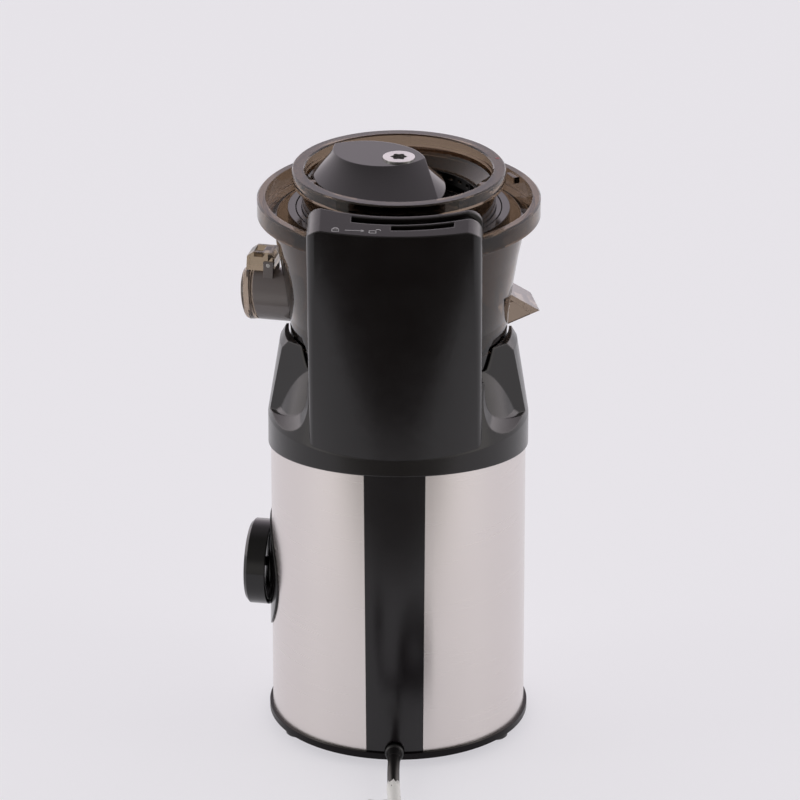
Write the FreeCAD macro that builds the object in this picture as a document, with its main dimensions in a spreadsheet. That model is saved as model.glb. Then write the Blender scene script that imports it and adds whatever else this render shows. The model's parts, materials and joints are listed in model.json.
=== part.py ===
import FreeCAD, Part
import math
import os
import Sketcher
from FreeCAD import Placement, Rotation, Vector

# Cold press juicer. Millimetres, +Z up. The origin is on the table under the middle of the round base, the
# column stands at the back, towards -Y, and the juice spout points to the left, towards -X.

# Driving sizes
SIZES = {
    # clearances between pieces of one body, and between pieces that move past each other
    "seat_gap": 0.1,
    "running_gap": 0.35,
    "bearing_gap": 0.06,
    # base plate, feet and steel sleeve
    "foot_height": 5.5,
    "foot_radius": 7.5,
    "foot_ring_radius": 69.5,
    "foot_angle": 28.5,
    "foot_stem_radius": 3,
    "flange_radius": 80,
    "flange_thickness": 4,
    "floor_thickness": 3,
    "spigot_height": 7.5,
    "spigot_wall": 2.5,
    "vent_length": 16,
    "vent_width": 4,
    "vent_ring_radius": 40,
    "sleeve_radius": 78,
    "sleeve_wall": 0.8,
    "collar_edge_height": 184.6,
    "collar_edge_slope": 0.125,
    "strip_width_foot": 34.5,
    "strip_width_top": 37,
    "strip_proud": 0.4,
    "strip_lap": 5,
    "strip_lap_wall": 1.6,
    # cord outlet
    "cord_radius": 3.75,
    "cord_height": 10.8,
    "grommet_radius": 5.8,
    "grommet_neck_radius": 4.8,
    "grommet_lip": 2.5,
    "relief_reach": 90,
    # knob
    "knob_height": 96.3,
    "knob_angle": 8.5,
    "knob_radius": 26.5,
    "knob_face": 92.8,
    "knob_back": 79.5,
    "knob_edge": 2,
    "knob_dish": 1,
    "knob_dish_radius": 21,
    "knob_shaft_radius": 3,
    "bezel_radius": 38,
    "bezel_proud": 1.1,
    "bezel_neck_radius": 17.5,
    "bezel_neck_end": 70,
    "switch_radius": 14,
    "switch_depth": 14,
    # motor
    "post_radius": 5,
    "post_ring_radius": 62,
    "mount_plate_radius": 72,
    "mount_plate_thickness": 3,
    "mount_plate_height": 138,
    "motor_radius": 50,
    "motor_wall": 2,
    "motor_height": 78,
    "end_cap_thickness": 4,
    "stator_bore": 29.6,
    "stator_height": 46,
    "winding_height": 11,
    "winding_inner_radius": 32,
    "winding_outer_radius": 45,
    "rotor_radius": 29,
    "rotor_height": 46,
    "motor_shaft_radius": 4,
    "pinion_shaft_radius": 2.5,
    "motor_bearing_radius": 11,
    "motor_bearing_width": 7,
    "fan_radius": 42,
    "fan_height": 12,
    "fan_hub_radius": 9,
    "fan_plate": 1.6,
    # gear train
    "fast_module": 0.8,
    "slow_module": 1.25,
    "pinion_teeth": 12,
    "wheel_teeth": 60,
    "gear_backlash": 0.3,
    "fast_gear_width": 8,
    "slow_gear_width": 12,
    "gear_side_gap": 1,
    "gear_pin_radius": 3,
    "case_wall": 3,
    "case_gap": 2,
    "cover_thickness": 4,
    "bearing_radius": 14,
    "bearing_width": 7,
    "bearing_lip": 1.5,
    "cover_boss_radius": 18,
    "drive_shaft_radius": 6,
    "drive_hex_flats": 10,
    "drive_hex_length": 18,
    # screws
    "screw_radius": 1.5,
    "screw_head_radius": 3,
    "screw_head_height": 2,
    # control parts
    "board_width": 50,
    "board_height": 40,
    "board_thickness": 1.6,
    "board_distance": 60,
    "capacitor_radius": 12,
    "capacitor_height": 42,
    # upper housing
    "collar_radius": 79.6,
    "collar_wall": 2.6,
    "collar_shoulder_height": 205,
    "tongue_depth": 8,
    "waist_radius": 74,
    "waist_shift": 2.5,
    "waist_height": 213,
    "seat_radius": 66.9,
    "seat_height": 243,
    "deck_thickness": 4,
    "deck_boss_radius": 19,
    "deck_boss_height": 6,
    "ear_radius": 72.4,
    "ear_shift": 5,
    "ear_knee_height": 250,
    "ear_tip_radius": 69.2,
    "ear_top_height": 255.5,
    "ear_back": 12,
    "web_foot_height": 208,
    "ear_front": 13.5,
    # back column
    "column_half_width": 52,
    "column_corner_radius": 7,
    "column_crown_radius": 11.6,
    "column_crown_centre": 11.2,
    "column_wall": 3,
    "column_foot_y": 79.6,
    "column_top_y": 98.5,
    "column_top_arc": 180,
    "column_height": 357,
    "column_top_slope": 0.17,
    "column_inner_y": 75.6,
    "column_inner_arc": 115,
    "column_cover_wall": 2,
    "slot_depth": 3,
    "hook_slot_depth": 7,
    "hook_groove_depth": 19,
    # interlock in the column
    "plunger_x": 16,
    "plunger_y": 82.3,
    "plunger_radius": 2.2,
    "plunger_collar_radius": 3.8,
    "plunger_travel": 4,
    "plunger_depth": 10.7,
    "plunger_length": 27,
    "bracket_half_width": 9,
    "spring_wire_radius": 0.35,
    "spring_radius": 3.1,
    "spring_turns": 6,
    # bowl
    "bowl_shift": 12,
    "bowl_floor_height": 252.6,
    "bowl_floor_thickness": 3,
    "bowl_wall": 2.6,
    "bowl_foot_radius": 66.2,
    "bowl_throat_radius": 77.2,
    "bowl_throat_height": 324.5,
    "rim_radius": 86,
    "rim_top": 340.5,
    "rim_height": 11,
    "rim_wall": 5,
    "ledge_radius": 74,
    "ledge_height": 329,
    "ledge_thickness": 2.5,
    "rim_lug_angle": 30,
    "base_ring_wall": 6,
    "floor_hole_radius": 10.5,
    # juice spout
    "spout_angle": 11,
    "spout_height": 269.7,
    "spout_radius": 16.3,
    "spout_tube_radius": 13.8,
    "spout_bore": 11.4,
    "spout_mouth": 87.7,
    "spout_mouth_tilt": 8,
    "spout_cap_depth": 7.4,
    "spout_cap_edge": 2.2,
    "spout_pin_radius": 1.25,
    "spout_pin_rise": 5.2,
    "spout_pin_back": 8,
    "lever_half_width": 7,
    "lever_height": 12,
    # pulp chute
    "chute_angle": 11.3,
    "chute_half_width": 15,
    "chute_wall": 2,
    "chute_tip": 84.5,
    "chute_tip_height": 265.6,
    "chute_top_height": 276.8,
    "chute_foot_height": 256.2,
    # strainer set
    "mesh_radius": 46.9,
    "mesh_wall": 0.5,
    "mesh_foot_radius": 44.5,
    "mesh_top": 330,
    "strainer_floor_height": 262.6,
    "strainer_floor_thickness": 2.6,
    "strainer_rib_depth": 2.2,
    "strainer_rib_count": 12,
    "strainer_rib_width": 2.4,
    "band_top": 341,
    "window_count": 36,
    "window_width": 3.2,
    "window_height": 2,
    "seat_ring_inner": 59,
    "seat_ring_outer": 62,
    "strainer_plate_height": 327.5,
    "strainer_plate_thickness": 3.2,
    "ring_top": 333.7,
    "collar_drum_radius": 58.8,
    "collar_drum_wall": 1.9,
    "collar_flange_radius": 64.7,
    "collar_flange_top": 358.7,
    "collar_flange_height": 8,
    "collar_funnel_radius": 49.7,
    "collar_funnel_rise": 7.2,
    # brush carriage and its drive
    "carriage_outer": 67.3,
    "carriage_inner": 62.7,
    "carriage_arm_inner": 52.6,
    "carriage_arm_outer": 56,
    "carriage_arm_angle": 24,
    "carriage_arm_count": 4,
    "carriage_plate_height": 323.2,
    "wiper_thickness": 2.4,
    "wiper_inner": 50.3,
    "brush_module": 1.5,
    "sun_teeth": 14,
    "idler_teeth": 25,
    "ring_teeth": 64,
    "brush_gear_width": 5,
    "ring_gear_outer": 54.5,
    "idler_pin_radius": 3,
    "peg_radius": 4,
    "peg_ring_radius": 36,
    # auger
    "auger_core_foot": 15,
    "auger_core_top": 27,
    "flight_radius": 43.6,
    "flight_thickness": 4.5,
    "flight_pitch": 36,
    "auger_foot_height": 266,
    "auger_head_foot": 345,
    "auger_head_knee": 355,
    "auger_top": 364.7,
    "auger_head_radius": 51.8,
    "auger_disc_height": 5,
    "bush_radius": 9.75,
    "bush_height": 4,
    "bush_proud": 1,
    "bush_hole_radius": 5.4,
    "socket_radius": 7.4,
    "socket_height": 20,
    # mains cord, put away in a coil behind the column
    "cord_lift": 0.05,
    "coil_outer_radius": 48,
    "coil_pitch": 9.5,
    "coil_rise": 8.3,
    "coil_centre_x": 54,
    "coil_centre_y": -216,
    "tag_length": 20,
    "tag_width": 13,
    "tag_thickness": 0.5,
    "plug_width": 30,
    "plug_height": 17,
    "plug_length": 32,
    "plug_relief": 16,
    "plug_pin_radius": 2.4,
    "plug_pin_length": 19,
    "plug_pin_spacing": 19,
}

doc = FreeCAD.newDocument("cold_press_juicer")
sheet = doc.addObject("Spreadsheet::Sheet", "Size")
for row, (alias, number) in enumerate(SIZES.items(), start=1):
    sheet.set(f"A{row}", alias)
    sheet.set(f"B{row}", str(number))
    sheet.setAlias(f"B{row}", alias)
doc.recompute()


class Value:
    """A number that remembers the spreadsheet formula it comes from."""

    def __init__(self, number, formula):
        self.number = float(number)
        self.formula = formula

    def __float__(self):
        return self.number

    def __add__(self, other):
        return combine(self, "+", other, self.number + float(other))

    def __radd__(self, other):
        return combine(other, "+", self, float(other) + self.number)

    def __sub__(self, other):
        return combine(self, "-", other, self.number - float(other))

    def __rsub__(self, other):
        return combine(other, "-", self, float(other) - self.number)

    def __mul__(self, other):
        return combine(self, "*", other, self.number * float(other))

    def __rmul__(self, other):
        return combine(other, "*", self, float(other) * self.number)

    def __truediv__(self, other):
        return combine(self, "/", other, self.number / float(other))

    def __neg__(self):
        return combine(0, "-", self, -self.number)


def formula_of(term):
    return term.formula if isinstance(term, Value) else f"{float(term):.9g}"


def combine(left, sign, right, number):
    return Value(number, f"({formula_of(left)} {sign} {formula_of(right)})")


class Sizes:
    """Reads a driving size from the spreadsheet by its alias."""

    def __getattr__(self, alias):
        return Value(sheet.get(alias), f"Size.{alias}")


size = Sizes()


def count(value):
    return int(round(float(value)))


def bind(target, path, term):
    """Ties a property, or a sketch's constraint, to the spreadsheet."""
    if isinstance(term, Value):
        target.setExpression(path, term.formula)


# Heights and radii that several pieces share
flange_top = size.foot_height + size.flange_thickness
floor_top = size.foot_height + size.floor_thickness
sleeve_bore = size.sleeve_radius - size.sleeve_wall
plate_top = size.mount_plate_height + size.mount_plate_thickness
fast_distance = size.fast_module * (size.pinion_teeth + size.wheel_teeth) / 2
slow_distance = size.slow_module * (size.pinion_teeth + size.wheel_teeth) / 2
layshaft_y = size.bowl_shift - slow_distance
motor_y = layshaft_y + fast_distance
case_floor_top = plate_top + size.seat_gap + size.case_wall
fast_gear_foot = case_floor_top + size.gear_side_gap
fast_gear_top = fast_gear_foot + size.fast_gear_width
slow_gear_foot = fast_gear_top + size.gear_side_gap
slow_gear_top = slow_gear_foot + size.slow_gear_width
case_top = slow_gear_top + size.gear_side_gap
deck_top = size.seat_height
deck_foot = deck_top - size.deck_thickness
boss_top = deck_top + size.deck_boss_height
bowl_floor_top = size.bowl_floor_height + size.bowl_floor_thickness
brush_gear_foot = bowl_floor_top + 2 * size.running_gap
brush_gear_top = brush_gear_foot + size.brush_gear_width
strainer_floor_top = size.strainer_floor_height + size.strainer_floor_thickness
strainer_plate_top = size.strainer_plate_height + size.strainer_plate_thickness
socket_foot = brush_gear_foot
shaft_top = socket_foot + size.drive_hex_length
sun_radius = size.brush_module * size.sun_teeth / 2
idler_radius = size.brush_module * size.idler_teeth / 2
idler_distance = sun_radius + idler_radius


# Plain solids, worked out from the driving sizes
def point(x, y, z=0.0):
    return Vector(float(x), float(y), float(z))


def rod(radius, low, high, x=0.0, y=0.0):
    return Part.makeCylinder(float(radius), float(high - low), point(x, y, low))


def tube(outer, inner, low, high, x=0.0, y=0.0):
    return rod(outer, low, high, x, y).cut(rod(inner, low - 1, high + 1, x, y))


def block(x0, x1, y0, y1, z0, z1):
    return Part.makeBox(float(x1 - x0), float(y1 - y0), float(z1 - z0), point(x0, y0, z0))


def polygon_face(corners):
    return Part.Face(Part.makePolygon(list(corners) + [corners[0]]))


def spun(profile, angle=360.0, start=0.0):
    """Turns a profile of (radius, height) points about the vertical axis."""
    face = polygon_face([point(r, 0, z) for r, z in profile])
    solid = face.revolve(Vector(0, 0, 0), Vector(0, 0, 1), float(angle))
    return turned_by(solid, start)


def prism(corners, low, high):
    """Raises a plan outline of (x, y) points from one height to another."""
    return polygon_face([point(x, y, low) for x, y in corners]).extrude(point(0, 0, high - low))


def moved(shape, x=0.0, y=0.0, z=0.0):
    copy = shape.copy()
    copy.translate(point(x, y, z))
    return copy


def turned_by(shape, angle):
    copy = shape.copy()
    copy.rotate(Vector(0, 0, 0), Vector(0, 0, 1), float(angle))
    return copy


def aimed(shape, angle, height):
    """Lays a shape built along +Z so that it points to the left, turned by angle towards the front."""
    copy = shape.copy()
    laid = Placement(point(0, 0, height), Rotation(-float(angle), -90.0, 0.0))
    copy.Placement = laid.multiply(shape.Placement)
    return copy


def joined(*shapes):
    return shapes[0].fuse(list(shapes[1:])).removeSplitter()


def around(shape, number, start=0.0):
    step = 360.0 / number
    return [turned_by(shape, start + step * turn) for turn in range(number)]


# Objects of the document
PIECES = []


def keep(piece, label):
    piece.Label = label
    PIECES.append(piece)
    return piece


def piece(label, shape, y=0.0):
    """A sub-part whose solid is worked out here, placed y forward of the origin."""
    held = doc.addObject("Part::Feature", label)
    held.Shape = shape
    held.Placement = Placement(point(0, y, 0), Rotation()).multiply(shape.Placement)
    return keep(held, label)


def body(label, y=0.0):
    made = doc.addObject("PartDesign::Body", label)
    made.AllowCompound = True
    made.Placement.Base = point(0, y, 0)
    bind(made, ".Placement.Base.y", y)
    return keep(made, label)


def origin_plane(owner, role):
    return next(item for item in owner.Origin.OriginFeatures if item.Role == role)


def sketch_on(owner, role, offset=0.0, turn=0.0):
    """A sketch on one of the body's origin planes, moved along its normal and turned about its upright axis."""
    drawn = owner.newObject("Sketcher::SketchObject", owner.Name + "_sketch")
    drawn.AttachmentSupport = [(origin_plane(owner, role), "")]
    drawn.MapMode = "FlatFace"
    drawn.AttachmentOffset = Placement(point(0, 0, offset), Rotation(Vector(0, 1, 0), float(turn)))
    bind(drawn, ".AttachmentOffset.Base.z", offset)
    return drawn


def draw_outline(drawn, corners):
    """Adds a closed outline whose corners are each held by two distances from the sketch's origin."""
    first = drawn.GeometryCount
    total = len(corners)
    lines = []
    for here, there in zip(corners, corners[1:] + corners[:1]):
        lines.append(Part.LineSegment(point(*here), point(*there)))
    drawn.addGeometry(lines)
    rules = []
    for k in range(total):
        rules.append(Sketcher.Constraint("Coincident", first + k, 2, first + (k + 1) % total, 1))
    for k, (x, y) in enumerate(corners):
        rules.append(Sketcher.Constraint("DistanceX", -1, 1, first + k, 1, float(x)))
        rules.append(Sketcher.Constraint("DistanceY", -1, 1, first + k, 1, float(y)))
    start = drawn.ConstraintCount
    drawn.addConstraint(rules)
    for k, (x, y) in enumerate(corners):
        bind(drawn, f"Constraints[{start + total + 2 * k}]", x)
        bind(drawn, f"Constraints[{start + total + 2 * k + 1}]", y)


def draw_circle(drawn, x, y, radius):
    index = drawn.addGeometry(Part.Circle(point(x, y), Vector(0, 0, 1), float(radius)))
    start = drawn.ConstraintCount
    rules = [
        Sketcher.Constraint("Radius", index, float(radius)),
        Sketcher.Constraint("DistanceX", -1, 1, index, 3, float(x)),
        Sketcher.Constraint("DistanceY", -1, 1, index, 3, float(y)),
    ]
    drawn.addConstraint(rules)
    for k, term in enumerate((radius, x, y)):
        bind(drawn, f"Constraints[{start + k}]", term)


def turn_profile(owner, profile):
    """Revolves a profile of (radius, height) points about the body's upright axis."""
    drawn = sketch_on(owner, "XZ_Plane")
    draw_outline(drawn, profile)
    feature = owner.newObject("PartDesign::Revolution", owner.Name + "_turn")
    feature.Profile = drawn
    feature.ReferenceAxis = (drawn, ["V_Axis"])
    feature.Angle = 360
    return feature


def turned(label, profile, y=0.0):
    made = body(label, y)
    turn_profile(made, profile)
    return made


def pad(owner, drawn, length):
    feature = owner.newObject("PartDesign::Pad", owner.Name + "_pad")
    feature.Profile = drawn
    feature.Length = float(length)
    bind(feature, "Length", length)
    return feature


def pocket(owner, drawn, length, reverse=False):
    feature = owner.newObject("PartDesign::Pocket", owner.Name + "_pocket")
    feature.Profile = drawn
    feature.Length = float(length)
    feature.Reversed = reverse
    bind(feature, "Length", length)
    return feature


def repeat(owner, feature, number):
    """Repeats a feature evenly about the body's upright axis."""
    pattern = owner.newObject("PartDesign::PolarPattern", owner.Name + "_repeat")
    pattern.Originals = [feature]
    axis = next(item for item in owner.Origin.OriginFeatures if item.Role == "Z_Axis")
    pattern.Axis = (axis, [""])
    pattern.Angle = 360
    pattern.Occurrences = number
    owner.Tip = pattern
    return pattern


# Gear teeth
def involute(radius, base):
    ratio = max(float(radius) / base, 1.0)
    return math.sqrt(ratio * ratio - 1.0) - math.acos(1.0 / ratio)


def gear_outline(module, teeth, thinner, tip, root, tooth_at=0.0):
    """Corners of a spur gear with 20 degree involute flanks. tip and root are in modules from the pitch line,
    thinner is taken off each tooth at the pitch line, and tooth_at is the direction of one tooth in degrees."""
    pitch = float(module) * teeth / 2
    base = pitch * math.cos(math.radians(20))
    outer = pitch + tip * float(module)
    inner = pitch - root * float(module)
    half = math.pi / (2 * teeth) - float(thinner) / (2 * pitch) + involute(pitch, base)
    low = max(base, inner)
    radii = [low, (pitch + low) / 2, (pitch + outer) / 2, outer]
    flank = [(r, half - involute(r, base)) for r in radii]
    foot = (inner, flank[0][1] * (0.8 if inner < base else 1.0))
    side = [foot] + flank
    corners = []
    for tooth in range(teeth):
        middle = math.radians(float(tooth_at)) + 2 * math.pi * tooth / teeth
        for r, spread in side:
            corners.append((r * math.cos(middle - spread), r * math.sin(middle - spread)))
        for r, spread in reversed(side):
            corners.append((r * math.cos(middle + spread), r * math.sin(middle + spread)))
    return corners


def spur_gear(module, teeth, low, high, tooth_at=0.0):
    corners = gear_outline(module, teeth, size.gear_backlash, 0.95, 1.2, tooth_at)
    return prism(corners, low, high)


# Base plate, feet and sleeve
def make_base_plate():
    spigot = sleeve_bore - size.seat_gap
    spigot_top = flange_top + size.spigot_height
    made = turned(
        "base_plate",
        [
            (0, size.foot_height),
            (size.flange_radius, size.foot_height),
            (size.flange_radius, flange_top),
            (spigot, flange_top),
            (spigot, spigot_top),
            (spigot - size.spigot_wall, spigot_top),
            (spigot - size.spigot_wall, floor_top),
            (0, floor_top),
        ],
    )
    notch = sketch_on(made, "XZ_Plane", spigot - 3 * size.spigot_wall)
    draw_circle(notch, 0, size.cord_height, size.grommet_radius + size.seat_gap)
    pocket(made, notch, 4 * size.spigot_wall + size.flange_radius - spigot, reverse=True)
    holes = sketch_on(made, "XY_Plane", floor_top)
    for x, y in foot_places():
        draw_circle(holes, x, y, size.foot_stem_radius + size.seat_gap)
    for x, y in post_places():
        draw_circle(holes, x, y, size.screw_radius + size.seat_gap)
    pocket(made, holes, 2 * size.floor_thickness)
    vent = sketch_on(made, "XY_Plane", floor_top)
    near = size.vent_ring_radius - size.vent_length / 2
    far = size.vent_ring_radius + size.vent_length / 2
    half = size.vent_width / 2
    draw_outline(vent, [(near, -half), (far, -half), (far, half), (near, half)])
    repeat(made, pocket(made, vent, 2 * size.floor_thickness), 16)


def foot_places():
    across = math.cos(math.radians(float(size.foot_angle)))
    along = math.sin(math.radians(float(size.foot_angle)))
    x = size.foot_ring_radius * across
    y = size.foot_ring_radius * along
    return [(x, y), (-x, y), (-x, -y), (x, -y)]


def post_places():
    reach = size.post_ring_radius * math.sqrt(0.5)
    return [(sx * reach, motor_y + sy * reach) for sx in (1, -1) for sy in (1, -1)]


def make_feet():
    stem = size.foot_stem_radius
    barb = stem + 1.2
    plate = floor_top + size.seat_gap
    profile = [
        (0, 0),
        (size.foot_radius - 1, 0),
        (size.foot_radius, 1),
        (size.foot_radius, size.foot_height - size.seat_gap),
        (stem, size.foot_height - size.seat_gap),
        (stem, plate),
        (barb, plate),
        (stem - 0.8, plate + 2.4),
        (0, plate + 2.4),
    ]
    foot = spun(profile)
    piece("rubber_feet", Part.makeCompound([moved(foot, x, y) for x, y in foot_places()]))


def edge_height(y):
    """Height of the tilted joint between the sleeve and the housing at a distance y forward of the axis."""
    return size.collar_edge_height - size.collar_edge_slope * y


def make_sleeve():
    made = body("steel_sleeve")
    ring = sketch_on(made, "XY_Plane", flange_top)
    draw_circle(ring, 0, 0, size.sleeve_radius)
    draw_circle(ring, 0, 0, sleeve_bore)
    far = size.sleeve_radius + 4
    full_top = edge_height(-far)
    pad(made, ring, full_top - flange_top)
    slant = sketch_on(made, "YZ_Plane", -far)
    outline = [
        (-far, edge_height(-far)),
        (far, edge_height(far)),
        (far, full_top + size.flange_thickness),
        (-far, full_top + size.flange_thickness),
    ]
    draw_outline(slant, outline)
    pocket(made, slant, 2 * far, reverse=True)
    slot = sketch_on(made, "XZ_Plane")
    foot = size.strip_width_foot / 2 + size.seat_gap
    top = size.strip_width_top / 2 + size.seat_gap
    outline = [
        (-foot, size.foot_height),
        (foot, size.foot_height),
        (top, full_top + size.flange_thickness),
        (-top, full_top + size.flange_thickness),
    ]
    draw_outline(slot, outline)
    pocket(made, slot, far, reverse=True)
    hole = sketch_on(made, "YZ_Plane", 0, -size.knob_angle)
    draw_circle(hole, 0, size.knob_height, size.bezel_neck_radius + size.seat_gap)
    pocket(made, hole, far)


def make_back_strip():
    def trapezoid(widen, low, high, reach):
        full_top = edge_height(-reach)
        foot = size.strip_width_foot / 2 + widen
        top = size.strip_width_top / 2 + widen
        corners = [(-foot, flange_top), (foot, flange_top), (top, full_top), (-top, full_top)]
        face = polygon_face([point(x, 0, z) for x, z in corners])
        slab = face.extrude(point(0, -reach, 0))
        return slab.common(block(-reach, reach, -reach, 0, low, high))

    reach = size.sleeve_radius + 4
    foot = flange_top + size.seat_gap
    lap_foot = flange_top + size.spigot_height + size.seat_gap
    lap_top = edge_height(size.collar_radius) - size.tongue_depth - size.seat_gap
    skin = tube(size.sleeve_radius + size.strip_proud, sleeve_bore - size.seat_gap, foot, edge_height(-reach))
    skin = skin.common(trapezoid(0, foot, edge_height(-reach), reach))
    lap_radius = sleeve_bore - size.seat_gap
    lap = tube(lap_radius, lap_radius - size.strip_lap_wall, lap_foot, lap_top)
    lap = lap.common(trapezoid(size.strip_lap, lap_foot, lap_top, reach))
    notch = rod(size.grommet_neck_radius + 1.2, 0, reach)
    notch.rotate(Vector(0, 0, 0), Vector(1, 0, 0), 90)
    notch.translate(point(0, 0, size.cord_height))
    strip = joined(skin, lap).cut([notch, above_edge(size.seat_gap)])
    piece("back_strip", strip)


def above_edge(lower=0.0):
    """Everything above the tilted joint, or a little below it where lower is given."""
    far = size.flange_radius + 20
    corners = [
        point(-far, -far, edge_height(-far) - lower),
        point(-far, far, edge_height(far) - lower),
        point(-far, far, 400),
        point(-far, -far, 400),
    ]
    return polygon_face(corners).extrude(point(2 * far, 0, 0))


def make_grommet():
    wall = sleeve_bore - size.seat_gap - size.spigot_wall
    face = size.flange_radius + size.strip_proud
    neck = size.cord_radius + 0.9
    profile = [
        (0, wall - 4),
        (size.grommet_radius - 0.4, wall - 4),
        (size.grommet_radius - 0.4, wall - 0.3),
        (size.grommet_neck_radius, wall - 0.3),
        (size.grommet_neck_radius, face),
        (size.grommet_radius, face),
        (size.grommet_radius, face + size.grommet_lip - 0.8),
        (size.grommet_radius - 0.8, face + size.grommet_lip),
        (neck, face + size.grommet_lip),
        (size.cord_radius + 0.3, size.relief_reach),
        (0, size.relief_reach),
    ]
    relief = spun(profile)
    relief.rotate(Vector(0, 0, 0), Vector(1, 0, 0), 90)
    relief.translate(point(0, 0, size.cord_height))
    piece("cord_grommet", relief)


# Knob, bezel and switch
def side_placed(label, shape):
    held = piece(label, shape)
    held.Placement = Placement(point(0, 0, size.knob_height), Rotation(-float(size.knob_angle), -90, 0))
    return held


def make_knob():
    made = turned(
        "control_knob",
        [
            (0, size.bezel_neck_end + 1),
            (size.knob_shaft_radius, size.bezel_neck_end + 1),
            (size.knob_shaft_radius, size.knob_back + 4),
            (size.knob_radius - 3, size.knob_back + 4),
            (size.knob_radius - 3, size.knob_back),
            (size.knob_radius, size.knob_back),
            (size.knob_radius, size.knob_face - size.knob_edge),
            (size.knob_radius - size.knob_edge, size.knob_face),
            (size.knob_dish_radius, size.knob_face),
            (size.knob_dish_radius - 1, size.knob_face - size.knob_dish),
            (0, size.knob_face - size.knob_dish),
        ],
    )
    pointer = sketch_on(made, "XY_Plane", size.knob_face)
    half = size.knob_dish
    near = size.knob_radius * 0.45
    far = size.knob_dish_radius
    draw_outline(pointer, [(near, -half), (far, -half), (far, half), (near, half)])
    pocket(made, pointer, 2 * size.knob_dish)
    made.setExpression(".Placement.Base.y", None)
    made.Placement = Placement(point(0, 0, size.knob_height), Rotation(-float(size.knob_angle), -90, 0))
    bind(made, ".Placement.Base.z", size.knob_height)


def make_bezel():
    sleeve = rod(size.sleeve_radius + size.seat_gap, -100, 100)
    sleeve.rotate(Vector(0, 0, 0), Vector(0, 1, 0), 90)
    cover = rod(size.sleeve_radius + size.bezel_proud, -100, 100)
    cover.rotate(Vector(0, 0, 0), Vector(0, 1, 0), 90)
    disc = rod(size.bezel_radius, 0, size.sleeve_radius + 2 * size.bezel_proud).common(cover).cut(sleeve)
    disc = disc.common(rod(size.bezel_radius, size.sleeve_radius / 2, 2 * size.sleeve_radius))
    neck = rod(size.bezel_neck_radius, size.bezel_neck_end, size.sleeve_radius + size.bezel_proud / 2)
    hole = rod(size.knob_shaft_radius + size.running_gap, 0, 100)
    side_placed("knob_bezel", joined(disc, neck).cut(hole))


def make_rotary_switch():
    back = size.bezel_neck_end - size.seat_gap
    case = rod(size.switch_radius, back - size.switch_depth, back)
    tag_low = back - size.switch_depth - 3.5
    tags = [block(x, x + 2, -0.4, 0.4, tag_low, tag_low + 4) for x in (-6, 4)]
    side_placed("rotary_switch", joined(case, *tags))


# Motor
def make_posts_and_plate():
    low = floor_top + size.seat_gap
    high = size.mount_plate_height - size.seat_gap
    posts = []
    for x, y in post_places():
        bore = rod(size.screw_radius + size.seat_gap, low - 1, low + 14, x, y)
        posts.append(rod(size.post_radius, low, high, x, y).cut(bore))
    piece("support_posts", Part.makeCompound(posts))
    made = body("mount_plate")
    disc = sketch_on(made, "XY_Plane", size.mount_plate_height)
    draw_circle(disc, 0, 0, size.mount_plate_radius)
    draw_circle(disc, 0, motor_y, size.motor_bearing_radius + 2)
    pad(made, disc, size.mount_plate_thickness)


def make_motor():
    top = size.mount_plate_height - size.seat_gap
    foot = top - size.motor_height
    bore = size.motor_radius - size.motor_wall
    seat = size.motor_bearing_radius + size.seat_gap
    shoulder = size.motor_bearing_width + 1.5
    shaft_hole = size.motor_shaft_radius + 1
    turned(
        "motor_can",
        [
            (size.motor_radius, foot),
            (size.motor_radius, top),
            (shaft_hole, top),
            (shaft_hole, top - 1.5),
            (seat, top - 1.5),
            (seat, top - shoulder),
            (seat + 2, top - shoulder),
            (seat + 2, top - size.motor_wall),
            (bore, top - size.motor_wall),
            (bore, foot),
        ],
        motor_y,
    )
    cap_top = foot - size.seat_gap
    cap_foot = cap_top - size.end_cap_thickness
    turned(
        "motor_end_cap",
        [
            (shaft_hole, cap_foot),
            (size.motor_radius, cap_foot),
            (size.motor_radius, cap_top),
            (seat + 3, cap_top),
            (seat + 3, cap_top + shoulder - 2),
            (seat, cap_top + shoulder - 2),
            (seat, cap_foot + 1.5),
            (shaft_hole, cap_foot + 1.5),
        ],
        motor_y,
    )
    middle = (foot + top) / 2
    low = middle - size.stator_height / 2
    high = middle + size.stator_height / 2
    stator = body("motor_stator", motor_y)
    ring = sketch_on(stator, "XY_Plane", low)
    draw_circle(ring, 0, 0, bore - size.seat_gap)
    draw_circle(ring, 0, 0, size.stator_bore)
    pad(stator, ring, size.stator_height)
    turns = []
    for level in (low - size.winding_height - size.seat_gap, high + size.seat_gap):
        hoop = tube(size.winding_outer_radius, size.winding_inner_radius, level, level + size.winding_height)
        turns.append(hoop.makeFillet(3.5, [e for e in hoop.Edges if isinstance(e.Curve, Part.Circle)]))
    piece("stator_windings", Part.makeCompound(turns), motor_y)
    rotor = body("motor_rotor", motor_y)
    core = sketch_on(rotor, "XY_Plane", middle - size.rotor_height / 2)
    draw_circle(core, 0, 0, size.rotor_radius)
    draw_circle(core, 0, 0, size.motor_shaft_radius + size.seat_gap)
    pad(rotor, core, size.rotor_height)
    inner = size.motor_shaft_radius + size.bearing_gap
    outer = size.motor_bearing_radius
    upper = top - 1.5 - size.seat_gap
    lower = cap_foot + 1.5 + size.seat_gap
    rings = [
        tube(outer, inner, upper - size.motor_bearing_width, upper),
        tube(outer, inner, lower, lower + size.motor_bearing_width),
    ]
    piece("motor_bearings", Part.makeCompound(rings), motor_y)
    fan_top = cap_foot - 4
    fan_foot = fan_top - size.fan_height
    shaft = joined(
        rod(size.motor_shaft_radius, fan_foot - 2, plate_top),
        rod(size.pinion_shaft_radius, plate_top, fast_gear_top + 1),
        spur_gear(size.fast_module, count(size.pinion_teeth), fast_gear_foot - 0.5, fast_gear_top, -90),
    )
    piece("motor_shaft", shaft, motor_y)
    make_fan(fan_foot, fan_top)


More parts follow.
